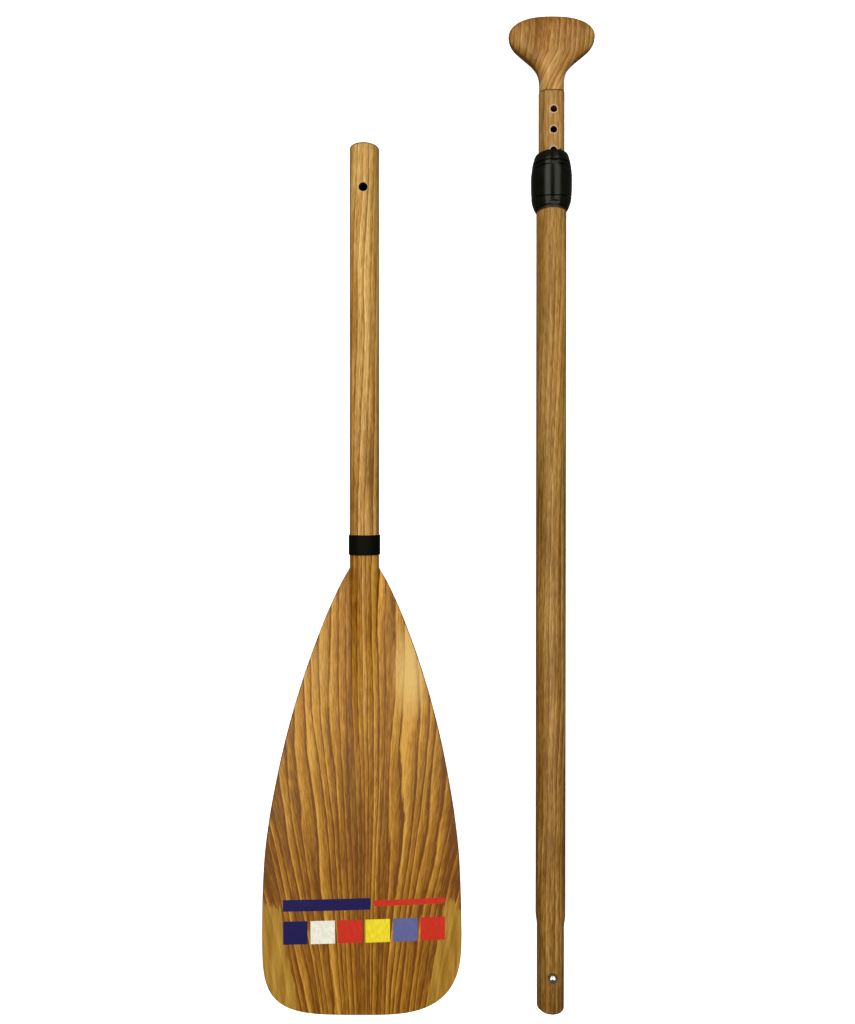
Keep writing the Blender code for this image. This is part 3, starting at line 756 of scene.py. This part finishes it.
def blade_half_thickness(x, half, s):
    core = BLADE_CORE_HALF * (1 - (s / BLADE_LENGTH) ** 4) * min(s / 0.05, 1.0)
    across = min(abs(x) / half, 1.0)
    wing = BLADE_EDGE_HALF + core * (1 - across**2)
    inside = min(edge_distance(x, half, s) / BLADE_EDGE_HALF, 1.0)
    wing *= math.sqrt(max(1 - (1 - inside) ** 2, 0.0))
    rise = NECK_R * max(1 - s / SPINE_LENGTH, 0.0)
    circle = math.sqrt(max(1 - (x / NECK_R) ** 2, 0.0))
    ridge_half = NECK_R + 0.0035 * ease(0.0, 0.08, s)
    ridge = math.cos(math.pi / 2 * min(abs(x) / ridge_half, 1.0)) ** 1.5
    share = ease(0.0, 0.07, s)
    spine = rise * (circle * (1 - share) + ridge * share)
    wing *= min(s / 0.01, 1.0)
    power = 3.0
    return (wing**power + spine**power) ** (1 / power)


def blade_lanes(half):
    """Distances from the centre line to the edge, close together at the edge."""
    inner = min(0.020, half / 2)
    lanes = [inner * i / 24 for i in range(24)]
    lanes += [inner + (half - inner) * math.sin(math.pi / 2 * i / 56) for i in range(57)]
    return lanes


def blade_back(s):
    return BLADE_DROP * (max(s, 0.0) / BLADE_LENGTH) ** BLADE_DROP_POWER


def blade_row(s):
    left, right = blade_half_widths(s)
    xs = [-x for x in reversed(blade_lanes(left))][:-1] + blade_lanes(right)
    lane_count = (len(xs) - 1) // 2
    sides = [left if i < lane_count else right for i in range(len(xs))]
    halves = [blade_half_thickness(x, side, s) for x, side in zip(xs, sides)]
    halves[0] = halves[-1] = 0.0
    back = blade_back(s)
    z = NECK_END_Z - s
    front = [(x, back - t, z) for x, t in zip(xs, halves)]
    rear = [(x, back + t, z) for x, t in zip(xs, halves)]
    return front + rear[-2:0:-1]


def round_row(radius, z, count):
    angles = [math.pi + 2 * math.pi * i / count for i in range(count)]
    return [(radius * math.cos(a), radius * math.sin(a), z) for a in angles]


def blade_grain(x, y, z):
    """Close grain down the spine, and wider grain on the wings that leans in towards it."""
    s = NECK_END_Z - z
    below = s - 0.16
    reach = 2.7 * (below + math.hypot(below, 0.05)) / 2
    u = x * math.exp(reach)
    spine = 0.016
    close = spine * math.tanh(u / spine)
    ring = u / 0.0125 + close * (1 / 0.0042 - 1 / 0.0125)
    on_back = y > blade_back(s) and s > 0
    left, right = blade_half_widths(max(s, 0.0))
    across = abs(x) / max(left if x < 0 else right, 0.001)
    side = 1.0 if x > 0 else 0.50
    # Painted sheen: a pale patch on the upper wings beside the spine, stronger on the right; the
    # blade's material turns this high tone into a pale sheen colour.
    patch = ((s - 0.105) / 0.060) ** 2 + ((abs(x) - 0.046) / 0.020) ** 2
    tone = 0.30 * side * math.exp(-patch) - 0.03 - 0.18 * ease(0.10, 0.36, s)
    # Painted shade along both flanks of the spine, where its sides slope steeply.
    flank_shade = math.exp(-(((abs(x) - 0.0150) / 0.0030) ** 2))
    tone -= 0.24 * flank_shade * ease(0.01, 0.05, s) * (1 - ease(0.16, 0.36, s))
    side = 0.40 if x > 0 else 0.22
    tone -= side * ease(0.76, 1.0, across) * ease(0.18, 0.27, s) * (1 - ease(0.32, 0.36, s))
    # Painted shade: a thin dark line along the blade's outline, where the rounded edge turns away
    # from the light.
    tone -= 0.40 * ease(0.975, 1.0, across) * ease(0.0, 0.02, s)
    return (u, 0.050 if on_back else 0.0, z), ring, tone


def corner_wedges_and_sheen(tree, colour):
    """Plainer film at both lower corners, with a jagged upper edge, and a painted sheen: a pale,
    duller colour where the tone is high on the upper wings.
    """
    place = object_place(tree)
    split = tree.add("ShaderNodeSeparateXYZ", [(0, place)])
    x, _, z = split.outputs
    jag = tree.noise(place, (0.0030, 0.01, 0.03), detail=3.0, shift=5).outputs["Fac"]
    jag = tree.math("MULTIPLY", tree.math("SUBTRACT", jag, 0.5), 0.060)
    height = tree.math("ADD", z, jag)
    out = tree.math("ABSOLUTE", tree.math("ADD", x, BLADE_LEAN))
    inner = tree.range(height, -0.480, -0.385, 0.066, 0.083)
    mask = tree.range(tree.math("SUBTRACT", out, inner), 0.0, 0.0012, 0.0, 1.0)
    low = tree.range(height, -0.388, -0.385, 1.0, 0.0)
    mask = tree.math("MULTIPLY", tree.math("MULTIPLY", mask, low), 0.72)
    soft = tree.noise(place, (0.004, 0.01, 0.06), detail=3.0, shift=9).outputs["Fac"]
    plain = tree.ramp(soft, [(0.35, srgb(140, 102, 26)), (0.7, srgb(180, 140, 56))])
    tone = tree.add("ShaderNodeAttribute", attribute_name="tone").outputs["Fac"]
    # Painted sheen: high tone on the upper wings is mixed towards a pale colour.
    painted_sheen = tree.range(tone, 0.08, 0.27, 0.0, 0.50)
    colour = tree.mix(painted_sheen, colour, srgb(206, 178, 116))
    return tree.mix(mask, colour, plain)


def make_blade(material):
    count = len(blade_row(0.1))
    rows = [round_row(STUB_R, STUB_TOP_Z, count), round_row(STUB_R, NECK_TOP_Z, count)]
    rows.append(round_row(NECK_R - LIP, NECK_TOP_Z, count))
    rows.append(round_row(NECK_R, NECK_TOP_Z - LIP, count))
    widest_s = BLADE_STATIONS[-1][0]
    steps = [0.060 * (i / 30) ** 1.3 for i in range(30)]
    steps += [0.060 + (widest_s - 0.060) * i / 110 for i in range(110)]
    for i in range(57):
        steps.append(widest_s + BLADE_END_LENGTH * math.sin(math.pi / 2 * i / 56 * 0.9995))
    rows += [blade_row(s) for s in steps]
    mesh = grid_mesh("blade_body", rows, True, cap_low=True, cap_high=True)
    blade = smooth(add_object("blade_body", mesh, "blade"), angle=60)
    store_grain(blade, blade_grain)
    return finish_piece(blade, "blade_section", "blade_print", material, "blade")


def blade_front(x, z):
    """The height, as the section's y, of the blade's front surface."""
    s = NECK_END_Z - z
    left, right = blade_half_widths(s)
    return blade_back(s) - blade_half_thickness(x, left if x < 0 else right, s)


STRIPE_SLANT = 0.033  # the printed band climbs slightly to the right
BAND_SIDES = (-0.0832, 0.0808)
BLOCK_Z = (-0.4248, -0.4008)
BLOCK_WIDTH = 0.0248
RULE_SPLIT = 0.0070


def make_stripe(name, low_x, high_x, low_z, high_z, material):
    """A patch of ink that follows the blade's front surface."""
    columns = max(int((high_x - low_x) / 0.002), 2)
    lines = max(int((high_z - low_z) / 0.002), 2)
    rows = []
    for r in range(lines + 1):
        row = []
        for c in range(columns + 1):
            x = low_x + (high_x - low_x) * c / columns
            z = low_z + (high_z - low_z) * r / lines + STRIPE_SLANT * x
            row.append((x, blade_front(x, z) - 0.00004, z))
        rows.append(row)
    stripe = add_object(name, grid_mesh(name, rows, False), "blade")
    skin = stripe.modifiers.new("ink", "SOLIDIFY")
    skin.thickness = 0.00006
    skin.offset = 0.0
    bpy.context.view_layer.update()
    smooth(applied(stripe))
    return finish_piece(stripe, "blade_section", "blade_print", material)


def make_stripes():
    """Plain bars and blocks of colour where the blade carries its printed band."""
    navy = film("ink_navy", srgb(24, 18, 74))
    white = film("ink_white", srgb(226, 222, 204))
    red = film("ink_red", srgb(190, 44, 26))
    yellow = film("ink_yellow", srgb(226, 204, 40))
    blue = film("ink_blue", srgb(92, 94, 142))
    left, right = BAND_SIDES
    inks = [navy, white, red, yellow, blue, red]
    pitch = (right - left - BLOCK_WIDTH) / (len(inks) - 1)
    for i, ink in enumerate(inks):
        x = left + i * pitch
        make_stripe(f"band_block_{i}", x, x + BLOCK_WIDTH, *BLOCK_Z, ink)
    make_stripe("band_rule_left", left, RULE_SPLIT - 0.0015, -0.3905, -0.3785, navy)
    make_stripe("band_rule_right", RULE_SPLIT + 0.0015, right, -0.3872, -0.3812, red)


def around_tube(x, y):
    """The distance round a tube from its front line."""
    return math.hypot(x, y) * math.atan2(x, -y)


def lower_grain(x, y, z):
    u = around_tube(x, y) - 0.02 * (z - 0.2)
    return (u, 0.0, z), u / 0.0068, 0.19 - 0.38 * (1 - ease(0.03, 0.20, z))


def upper_grain(x, y, z):
    u = around_tube(x, y) - 0.02 * z
    return (u, 0.0, z), u / 0.0052, 0.50 * min(z, 0.30)


def grip_grain(x, y, z):
    """The grip's grain leans to the right as it climbs, and straightens in the upper half."""
    lean = 0.40 * (1 - ease(0.015, 0.034, abs(x)))
    below = min(z - 0.462, 0.0)
    u = x * (1 - 3.0 * below) - lean * below - 0.06 * (z - 0.462)
    tone = 0.10 * (1 - ease(0.445, 0.466, z)) - 0.13 * ease(0.445, 0.475, z)
    # Painted shade: the grip's sides, where its section turns away from the front, are darkened
    # above the neck.
    tone -= 0.42 * (1 - ease(0.0006, 0.0042, abs(y))) * ease(0.430, 0.445, z)
    return (u, 0.0 if y < 0 else 0.05, z * 1.3), u / 0.0062, tone


def tube_profile(outer, inner, low, high):
    """A tube's section with slightly rounded outer lips."""
    return [
        (outer - LIP, high),
        (outer, high - LIP),
        (outer, low + LIP),
        (outer - LIP, low),
        (inner, low),
        (inner, high),
    ]


def long_profile(profile, step=0.02):
    """Adds points along a profile's long straight runs, so that the skin is evenly divided."""
    made = []
    for one, two in zip(profile, profile[1:] + profile[:1]):
        made.append(one)
        pieces = int(math.dist(one, two) / step)
        for k in range(1, pieces):
            share = k / pieces
            made.append((one[0] + (two[0] - one[0]) * share, one[1] + (two[1] - one[1]) * share))
    return made


def make_lower_tube(material):
    low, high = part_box("lower_shaft")
    profile = tube_profile(TUBE_R, TUBE_BORE_R, low.y, high.y)
    tube = lathe("lower_tube", long_profile(profile), "blade")
    hole_z = high.y - BUTTON_HOLE_FROM_MOUTH
    hole = rod("cut", (0, TUBE_R, hole_z), BUTTON_HOLE_R, HOLE_CUTTER, "front", "blade")
    boolean(tube, hole, "DIFFERENCE")
    smooth(tube)
    store_grain(tube, lower_grain)
    return finish_piece(tube, "blade_section", "shaft_print", material, "lower_shaft")


def make_seam_band(material):
    low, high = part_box("seam_band")
    radius = (high.x - low.x) / 2
    inner = TUBE_R + GAP
    lip, corner = BAND_LIP, 0.3 * BAND_LIP
    bottom, top = low.y, high.y
    profile = [(inner, top), (radius - lip, top), (radius - corner, top - corner)]
    profile += [(radius, top - lip), (radius, bottom + lip)]
    profile += [(radius - corner, bottom + corner), (radius - lip, bottom), (inner, bottom)]
    band = smooth(lathe("seam_band_ring", profile, "blade"), angle=50)
    return finish_piece(band, "blade_section", "black_plastic", material, "seam_band")


# Upper section


def make_main_tube(material):
    swage_low, swage_high = SHOULDER_Z
    ease_r = (TUBE_R - SPIGOT_R) * 0.12
    outer = [(TUBE_R - LIP, MAIN_TOP_Z), (TUBE_R, MAIN_TOP_Z - LIP), (TUBE_R, swage_high + 0.0008)]
    outer += [(TUBE_R - ease_r, swage_high - 0.0006), (SPIGOT_R + ease_r, swage_low + 0.0006)]
    outer += [(SPIGOT_R, swage_low - 0.0008), (SPIGOT_R, SPIGOT_END_Z + LIP)]
    inner = [(SPIGOT_R - LIP, SPIGOT_END_Z), (SPIGOT_BORE_R, SPIGOT_END_Z)]
    inner += [(SPIGOT_BORE_R, swage_low), (TUBE_BORE_R, swage_high), (TUBE_BORE_R, MAIN_TOP_Z)]
    tube = lathe("main_tube", long_profile(outer + inner), "upper")
    hole = rod("cut", (0, SPIGOT_R, BUTTON_Z), BUTTON_HOLE_R, HOLE_CUTTER, "front", "upper")
    boolean(tube, hole, "DIFFERENCE")
    hole = rod("cut", (0, TUBE_R, PEG_Z), HOLE_R, PEG_HOLE_CUTTER, "front", "upper")
    boolean(tube, hole, "DIFFERENCE")
    smooth(tube, angle=30)
    store_grain(tube, upper_grain)
    return finish_piece(tube, "upper_shaft", "upper_shaft_print", material, "main_shaft")


def make_button(material):
    """The snap button: a low dome on a barrel, with its flange inside the spigot."""
    rise = BUTTON_TOP - BUTTON_SHOULDER
    profile = [(0.0, BUTTON_TOP)]
    for i in range(1, DOME_STEPS + 1):
        angle = math.pi / 2 * i / DOME_STEPS
        profile.append((BUTTON_R * math.sin(angle), BUTTON_SHOULDER + rise * math.cos(angle)))
    flange_low, flange_top = BUTTON_FLANGE_FRONT
    profile += [(BUTTON_R, flange_top), (BUTTON_FLANGE_R, flange_top)]
    profile += [(BUTTON_FLANGE_R, flange_low), (0.0, flange_low)]
    rows = []
    for r, front in profile:
        row = []
        for i in range(BUTTON_SIDES):
            angle = 2 * math.pi * i / BUTTON_SIDES
            row.append((r * math.cos(angle), -front, BUTTON_Z + r * math.sin(angle)))
        rows.append(row)
    mesh = grid_mesh("button_dome", rows, True)
    button = smooth(add_object("button_dome", mesh, "upper"), angle=50)
    return finish_piece(button, "snap_button", "steel", material, "snap_button")


def rounded(path, rounds=3):
    """The same path with its corners cut off a few times; the ends stay."""
    for _ in range(rounds):
        made = [path[0]]
        for one, two in zip(path, path[1:]):
            for share in (0.25, 0.75):
                made.append(tuple(a + (b - a) * share for a, b in zip(one, two)))
        made.append(path[-1])
        path = made
    return path


def make_spring(material):
    """The folded flat spring inside the spigot, built in its rest shape; the real spring flattens
    as the button is pressed.
    """
    path = rounded(SPRING_PATH)
    half_width, half_thick = SPRING_HALF
    rows = []
    for k, (along, front) in enumerate(path):
        before, after = path[max(k - 1, 0)], path[min(k + 1, len(path) - 1)]
        run, rise = after[0] - before[0], after[1] - before[1]
        length = math.hypot(run, rise)
        out = (-rise / length * half_thick, run / length * half_thick)
        row = []
        for x, side in ((-1, 1), (1, 1), (1, -1), (-1, -1)):
            y = -(front + side * out[1])
            row.append((x * half_width, y, BUTTON_Z + along + side * out[0]))
        rows.append(row)
    mesh = grid_mesh("spring_strip", rows, True, cap_low=True, cap_high=True)
    spring = smooth(add_object("spring_strip", mesh, "upper"), angle=50)
    finish_piece(spring, "upper_shaft", "spring_steel", material, "button_spring")
    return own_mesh(spring)


def barrel_radius(z):
    return smooth_through(BARREL, z)


def barrel_ring(name, low, high, bore, lip=0.0003):
    """A ring of the collar between two heights, with small rounded lips."""
    steps = max(int((high - low) / 0.0012), 4)
    outer = []
    for i in range(steps + 1):
        z = low + lip + (high - low - 2 * lip) * i / steps
        outer.append((barrel_radius(z), z))
    top = [(barrel_radius(high) - lip, high)]
    bottom = [(barrel_radius(low) - lip, low)]
    profile = top + list(reversed(outer)) + bottom + [(bore, low), (bore, high)]
    return lathe(name, profile, "upper")


def slant_block(offset, above):
    """A big block on one side of the collar's slanted lower split, moved by offset."""
    half = SLANT_BLOCK / 2
    low_z, high_z = (0.0, SLANT_BLOCK) if above else (-SLANT_BLOCK, 0.0)
    made = block("slant", (-half, -half, low_z), (half, half, high_z), "upper")
    turn = Matrix.Translation((0, 0, SLANT_Z + offset)) @ Matrix.Rotation(SLANT_ANGLE, 4, "X")
    made.data.transform(turn)
    return made


def make_collar(material):
    groove = GROOVE / 2
    bottom_z, top_z = BARREL[0][0], BARREL[-1][0]

    base = barrel_ring("collar_lower", bottom_z, BASE_TOP_Z, COLLAR_BORE_R)
    boolean(base, slant_block(-groove, True), "DIFFERENCE")
    notch = rod("cut", (0, NOTCH_FRONT, NOTCH_Z), NOTCH_R, NOTCH_WIDTH, "x", "upper")
    boolean(base, notch, "DIFFERENCE")
    soften(base)
    finish_piece(base, "upper_shaft", "black_plastic", material, "collar_base")

    sleeve_top = CAP_SPLIT_Z - groove
    sleeve = barrel_ring("collar_barrel", SLEEVE_LOW_Z, sleeve_top, COLLAR_BORE_R)
    boolean(sleeve, slant_block(groove, False), "DIFFERENCE")
    slot_low = (-CUT_SIDE, LEVER_SPLIT_FRONT - LEVER_GAP, CUT_LOW_Z)
    slot_high = (CUT_SIDE, CUT_FRONT, LEVER_TOP_Z + LEVER_SWING_GAP)
    boolean(sleeve, block("cut", slot_low, slot_high, "upper"), "DIFFERENCE")
    wide = TONGUE_HALF_WIDTH + LEVER_GAP
    low = (-wide, 0.0, LEVER_TOP_Z - KNUCKLE_R)
    boolean(sleeve, block("cut", low, (wide, CUT_FRONT, CUT_HIGH_Z), "upper"), "DIFFERENCE")
    at_pivot = (0, PIVOT_FRONT, PIVOT_Z)
    length = 2 * (PIN_HALF_LENGTH + GAP)
    pin_hole = rod("cut", at_pivot, PIN_R + PIN_CLEARANCE, length, "x", "upper", sides=32)
    boolean(sleeve, pin_hole, "DIFFERENCE")
    soften(sleeve)
    finish_piece(sleeve, "upper_shaft", "black_plastic", material, "collar_sleeve")

    cap = barrel_ring("collar_top", CAP_SPLIT_Z + groove, top_z, CAP_BORE_R)
    nub = rod("nub", (*NUB, top_z - NUB_R / 2), NUB_R, NUB_LENGTH, "z", "upper", sides=24)
    boolean(cap, nub, "UNION")
    soften(cap, width=0.00015)
    finish_piece(cap, "upper_shaft", "black_plastic", material, "collar_cap")


def make_lever(material, metal):
    lever = barrel_ring("lever_cover", LEVER_LOW_Z, LEVER_TOP_Z, LEVER_INNER_R)
    blank_low = (-CUT_SIDE, LEVER_SPLIT_FRONT, CUT_LOW_Z)
    blank = block("cut", blank_low, (CUT_SIDE, CUT_FRONT, CUT_HIGH_Z), "upper")
    boolean(lever, blank, "INTERSECT")
    boolean(lever, slant_block(GROOVE / 2, False), "DIFFERENCE")
    half = TONGUE_HALF_WIDTH
    thick = KNUCKLE_R - TONGUE_INSET
    low = (-half, PIVOT_FRONT - thick, LEVER_TOP_Z - TONGUE_OVERLAP)
    high = (half, PIVOT_FRONT + thick, PIVOT_Z + TONGUE_RISE)
    boolean(lever, block("tongue", low, high, "upper"), "UNION")
    at_pivot = (0, PIVOT_FRONT, PIVOT_Z)
    boolean(lever, rod("knuckle", at_pivot, KNUCKLE_R, 2 * half, "x", "upper", sides=48), "UNION")
    bore_r = PIN_R + PIN_CLEARANCE
    bore = rod("cut", at_pivot, bore_r, LEVER_BORE_LENGTH, "x", "upper", sides=32)
    boolean(lever, bore, "DIFFERENCE")
    depth = PEG_FOOT_FRONT + GAP - LEVER_INNER_R + PEG_SOCKET_SPARE
    middle = PEG_FOOT_FRONT + GAP - depth / 2
    socket = rod("cut", (0, middle, PEG_Z), PEG_R + GAP, depth, "front", "upper")
    boolean(lever, socket, "DIFFERENCE")
    soften(lever, width=0.00015)
    finish_piece(lever, "lock_lever", "black_plastic", material, "lock_lever")

    length = PEG_FOOT_FRONT - PEG_TIP_FRONT
    middle = (0, PEG_TIP_FRONT + length / 2, PEG_Z)
    peg = rod("lever_peg", middle, PEG_R, length, "front", "upper")
    soften(peg, width=PEG_CHAMFER)
    finish_piece(peg, "lock_lever", "steel", metal, "lock_peg")


def make_extension(material):
    low_z, high_z = EXTENSION_LOW_Z, EXTENSION_TOP_Z
    profile = tube_profile(EXTENSION_R, EXTENSION_BORE_R, low_z, high_z + SPARE)
    tube = lathe("extension_sleeve", long_profile(profile), "upper")
    saddle_z = high_z - SADDLE_R
    wide, deep = KEEPER
    keeper = block("keep", (-wide, -deep, low_z - SPARE), (wide, deep, saddle_z), "upper")
    arch = rod("arch", (0, 0, saddle_z), SADDLE_R, SADDLE_WIDTH, "x", "upper", sides=256)
    boolean(keeper, arch, "UNION")
    boolean(tube, keeper, "INTERSECT")
    for i in range(HOLE_COUNT):
        z = FIRST_HOLE_Z - i * HOLE_PITCH
        hole = rod("cut", (0, EXTENSION_R, z), HOLE_R, ROW_CUTTER, "front", "upper", sides=48)
        boolean(tube, hole, "DIFFERENCE")
    smooth(tube)
    store_grain(tube, upper_grain)
    return finish_piece(tube, "extension", "upper_shaft_print", material, "extension_tube")


def grip_ring(z, half_width, half_depth, power):
    """A rounded section: an ellipse at power 2, squarer above it."""
    points = []
    for i in range(GRIP_SIDES):
        angle = 2 * math.pi * i / GRIP_SIDES
        c, s = math.cos(angle), math.sin(angle)
        x = half_width * math.copysign(abs(c) ** (2 / power), c)
        y = half_depth * math.copysign(abs(s) ** (2 / power), s)
        points.append((x, y, z))
    return points


def make_grip(material):
    columns = [[(row[0], row[k]) for row in GRIP_STATIONS] for k in (1, 2, 3)]
    first, last = GRIP_STATIONS[0][0], GRIP_STATIONS[-1][0]
    steps = 90
    rings = []
    for i in range(steps + 1):
        z = first + (last - first) * i / steps
        rings.append(grip_ring(z, *(smooth_through(column, z) for column in columns)))
    _, wide, deep, power = GRIP_STATIONS[-1]
    top_steps = 48
    for i in range(1, top_steps + 1):
        t = math.sin(math.pi / 2 * 0.998 * i / top_steps)
        share = (1 - t**GRIP_END_POWER) ** (1 / GRIP_END_POWER)
        thin = (1 - t**2) ** 0.5
        rings.append(grip_ring(last + (GRIP_TOP_Z - last) * t, wide * share, deep * thin, power))
    mesh = grid_mesh("palm_grip", rings, True, cap_low=True, cap_high=True)
    grip = add_object("palm_grip", mesh, "upper")
    saddle_z = EXTENSION_TOP_Z - SADDLE_R
    saddle = rod("cut", (0, 0, saddle_z), SADDLE_R + GAP, SADDLE_WIDTH, "x", "upper", sides=256)
    boolean(grip, saddle, "DIFFERENCE")
    stub_high = first + GRIP_STUB_OVERLAP
    middle = (0, 0, (GRIP_STUB_END_Z + stub_high) / 2)
    length = stub_high - GRIP_STUB_END_Z
    stub = rod("stub", middle, EXTENSION_BORE_R - GAP, length, "z", "upper", sides=96)
    boolean(grip, stub, "UNION")
    smooth(grip, angle=50)
    store_grain(grip, grip_grain)
    return finish_piece(grip, "extension", "grip_print", material, "grip")


# Stage


def make_floor():
    size = 4.0
    mesh = bpy.data.meshes.new("floor")
    corners = [(-size, -size, 0), (size, -size, 0), (size, size, 0), (-size, size, 0)]
    mesh.from_pydata(corners, [], [(0, 1, 2, 3)])
    floor = bpy.data.objects.new("floor", mesh)
    floor.location.z = CAD_BOX[0].z - 0.0002
    bpy.context.scene.collection.objects.link(floor)
    tree = Tree("floor_white")
    tree.put(tree.shader, "Base Color", (0.92, 0.92, 0.92, 1.0))
    tree.put(tree.shader, "Roughness", 0.9)
    tree.put(tree.shader, "Emission Color", (1.0, 1.0, 1.0, 1.0))
    tree.put(tree.shader, "Emission Strength", 0.85)
    mesh.materials.append(tree.material)
    floor.visible_diffuse = False
    floor.visible_glossy = False
    return floor


def soft_light(name, place, target, size_x, size_y, power):
    data = bpy.data.lights.new(name, "AREA")
    data.shape = "RECTANGLE"
    data.size = size_x
    data.size_y = size_y
    data.energy = power
    light = bpy.data.objects.new(name, data)
    light.location = place
    light.rotation_euler = (Vector(target) - Vector(place)).to_track_quat("-Z", "X").to_euler()
    light.visible_camera = False
    bpy.context.scene.collection.objects.link(light)
    return light


def make_lights():
    world = bpy.data.worlds.new("studio")
    world.use_nodes = True
    nodes, links = world.node_tree.nodes, world.node_tree.links
    nodes["Background"].inputs["Color"].default_value = (1.0, 1.0, 1.0, 1.0)
    seen = nodes.new("ShaderNodeLightPath").outputs["Is Camera Ray"]
    strength = nodes.new("ShaderNodeMapRange")
    strength.inputs["To Min"].default_value = 0.10
    strength.inputs["To Max"].default_value = 0.90
    links.new(seen, strength.inputs["Value"])
    links.new(strength.outputs["Result"], nodes["Background"].inputs["Strength"])
    bpy.context.scene.world = world
    soft_light("left_box", (-0.62, 0.50, 1.30), (0, 0.50, 0), 0.75, 3.0, 25.0)
    soft_light("right_box", (0.66, 0.50, 1.30), (0, 0.50, 0), 0.75, 3.0, 18.5)
    soft_light("sheen", (0.10, -0.42, 1.10), (-0.02, -0.15, 0), 0.45, 0.45, 2.0)


def make_camera():
    """Straight above the paddle, at the distance from which its perspective is seen."""
    data = bpy.data.cameras.new("camera")
    distance = 0.687
    frame_height = 1.024
    data.sensor_width = 36.0
    data.lens = data.sensor_width * distance / frame_height
    camera = bpy.data.objects.new("camera", data)
    camera.location = (0.0011, 0.0114, 0.0165 + distance)
    bpy.context.scene.collection.objects.link(camera)
    bpy.context.scene.camera = camera
    bpy.context.scene.view_settings.view_transform = "Standard"


def paint_node(name, material):
    node = frame["nodes"][name]
    node.data.materials.clear()
    node.data.materials.append(material)


# Wood-print colours: dark, middle and light
BLADE_TONES = (srgb(96, 52, 2), srgb(150, 101, 20), srgb(190, 144, 58))
LOWER_TONES = (srgb(112, 72, 18), srgb(166, 124, 56), srgb(206, 168, 100))
MAIN_TONES = (srgb(92, 58, 12), srgb(138, 100, 38), srgb(178, 138, 74))
EXTENSION_TONES = (srgb(102, 66, 20), srgb(142, 104, 46), srgb(182, 143, 84))
GRIP_TONES = (srgb(112, 68, 14), srgb(160, 118, 56), srgb(194, 154, 92))

MOUTH_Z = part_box("lower_shaft")[1].y
make_blade(wood_print("blade_wood", BLADE_TONES, line=1.35, stroke=0.55, extra=corner_wedges_and_sheen))
make_stripes()
lower_hole = (MOUTH_Z - BUTTON_HOLE_FROM_MOUTH, 1.0, 1, BUTTON_HOLE_R, 0.0005)
lower_extra = holes_extra([MOUTH_Z], TUBE_BORE_R, *lower_hole)
make_lower_tube(wood_print("lower_wood", LOWER_TONES, line=1.1, shift=2.0, extra=lower_extra))
black = black_plastic("collar_plastic")
make_seam_band(black_plastic("band_plastic", srgb(5, 5, 3), srgb(9, 9, 5), 0.5, 0.04))
make_main_tube(wood_print("main_wood", MAIN_TONES, contrast=1.05, shift=5.0, extra=main_extra))
bright = steel("bright_steel")
make_button(bright)
make_collar(black)
make_lever(black, bright)
hole_row = (FIRST_HOLE_Z, HOLE_PITCH, HOLE_COUNT, HOLE_R, 0.0009)
row_extra = holes_extra([], EXTENSION_BORE_R, *hole_row)
make_extension(wood_print("extension_wood", EXTENSION_TONES, shift=8.0, extra=row_extra))
make_grip(wood_print("grip_wood", GRIP_TONES, contrast=0.9, shift=13.0, extra=joint_line))

paint_node("lever_pin", black)
make_spring(steel("spring_steel", roughness=0.25))
nylon = pale_plastic("natural_nylon", srgb(206, 202, 188), srgb(224, 220, 208), 0.002, 0.5)
paint_node("guide_bush", nylon)
paint_node("extension_plug", nylon)
foam = pale_plastic("closed_foam", srgb(205, 205, 198), srgb(232, 232, 226), 0.0008, 0.95)
paint_node("float_plug", foam)
paint_node("lower_float_plug", foam)

make_floor()
make_lights()
make_camera()
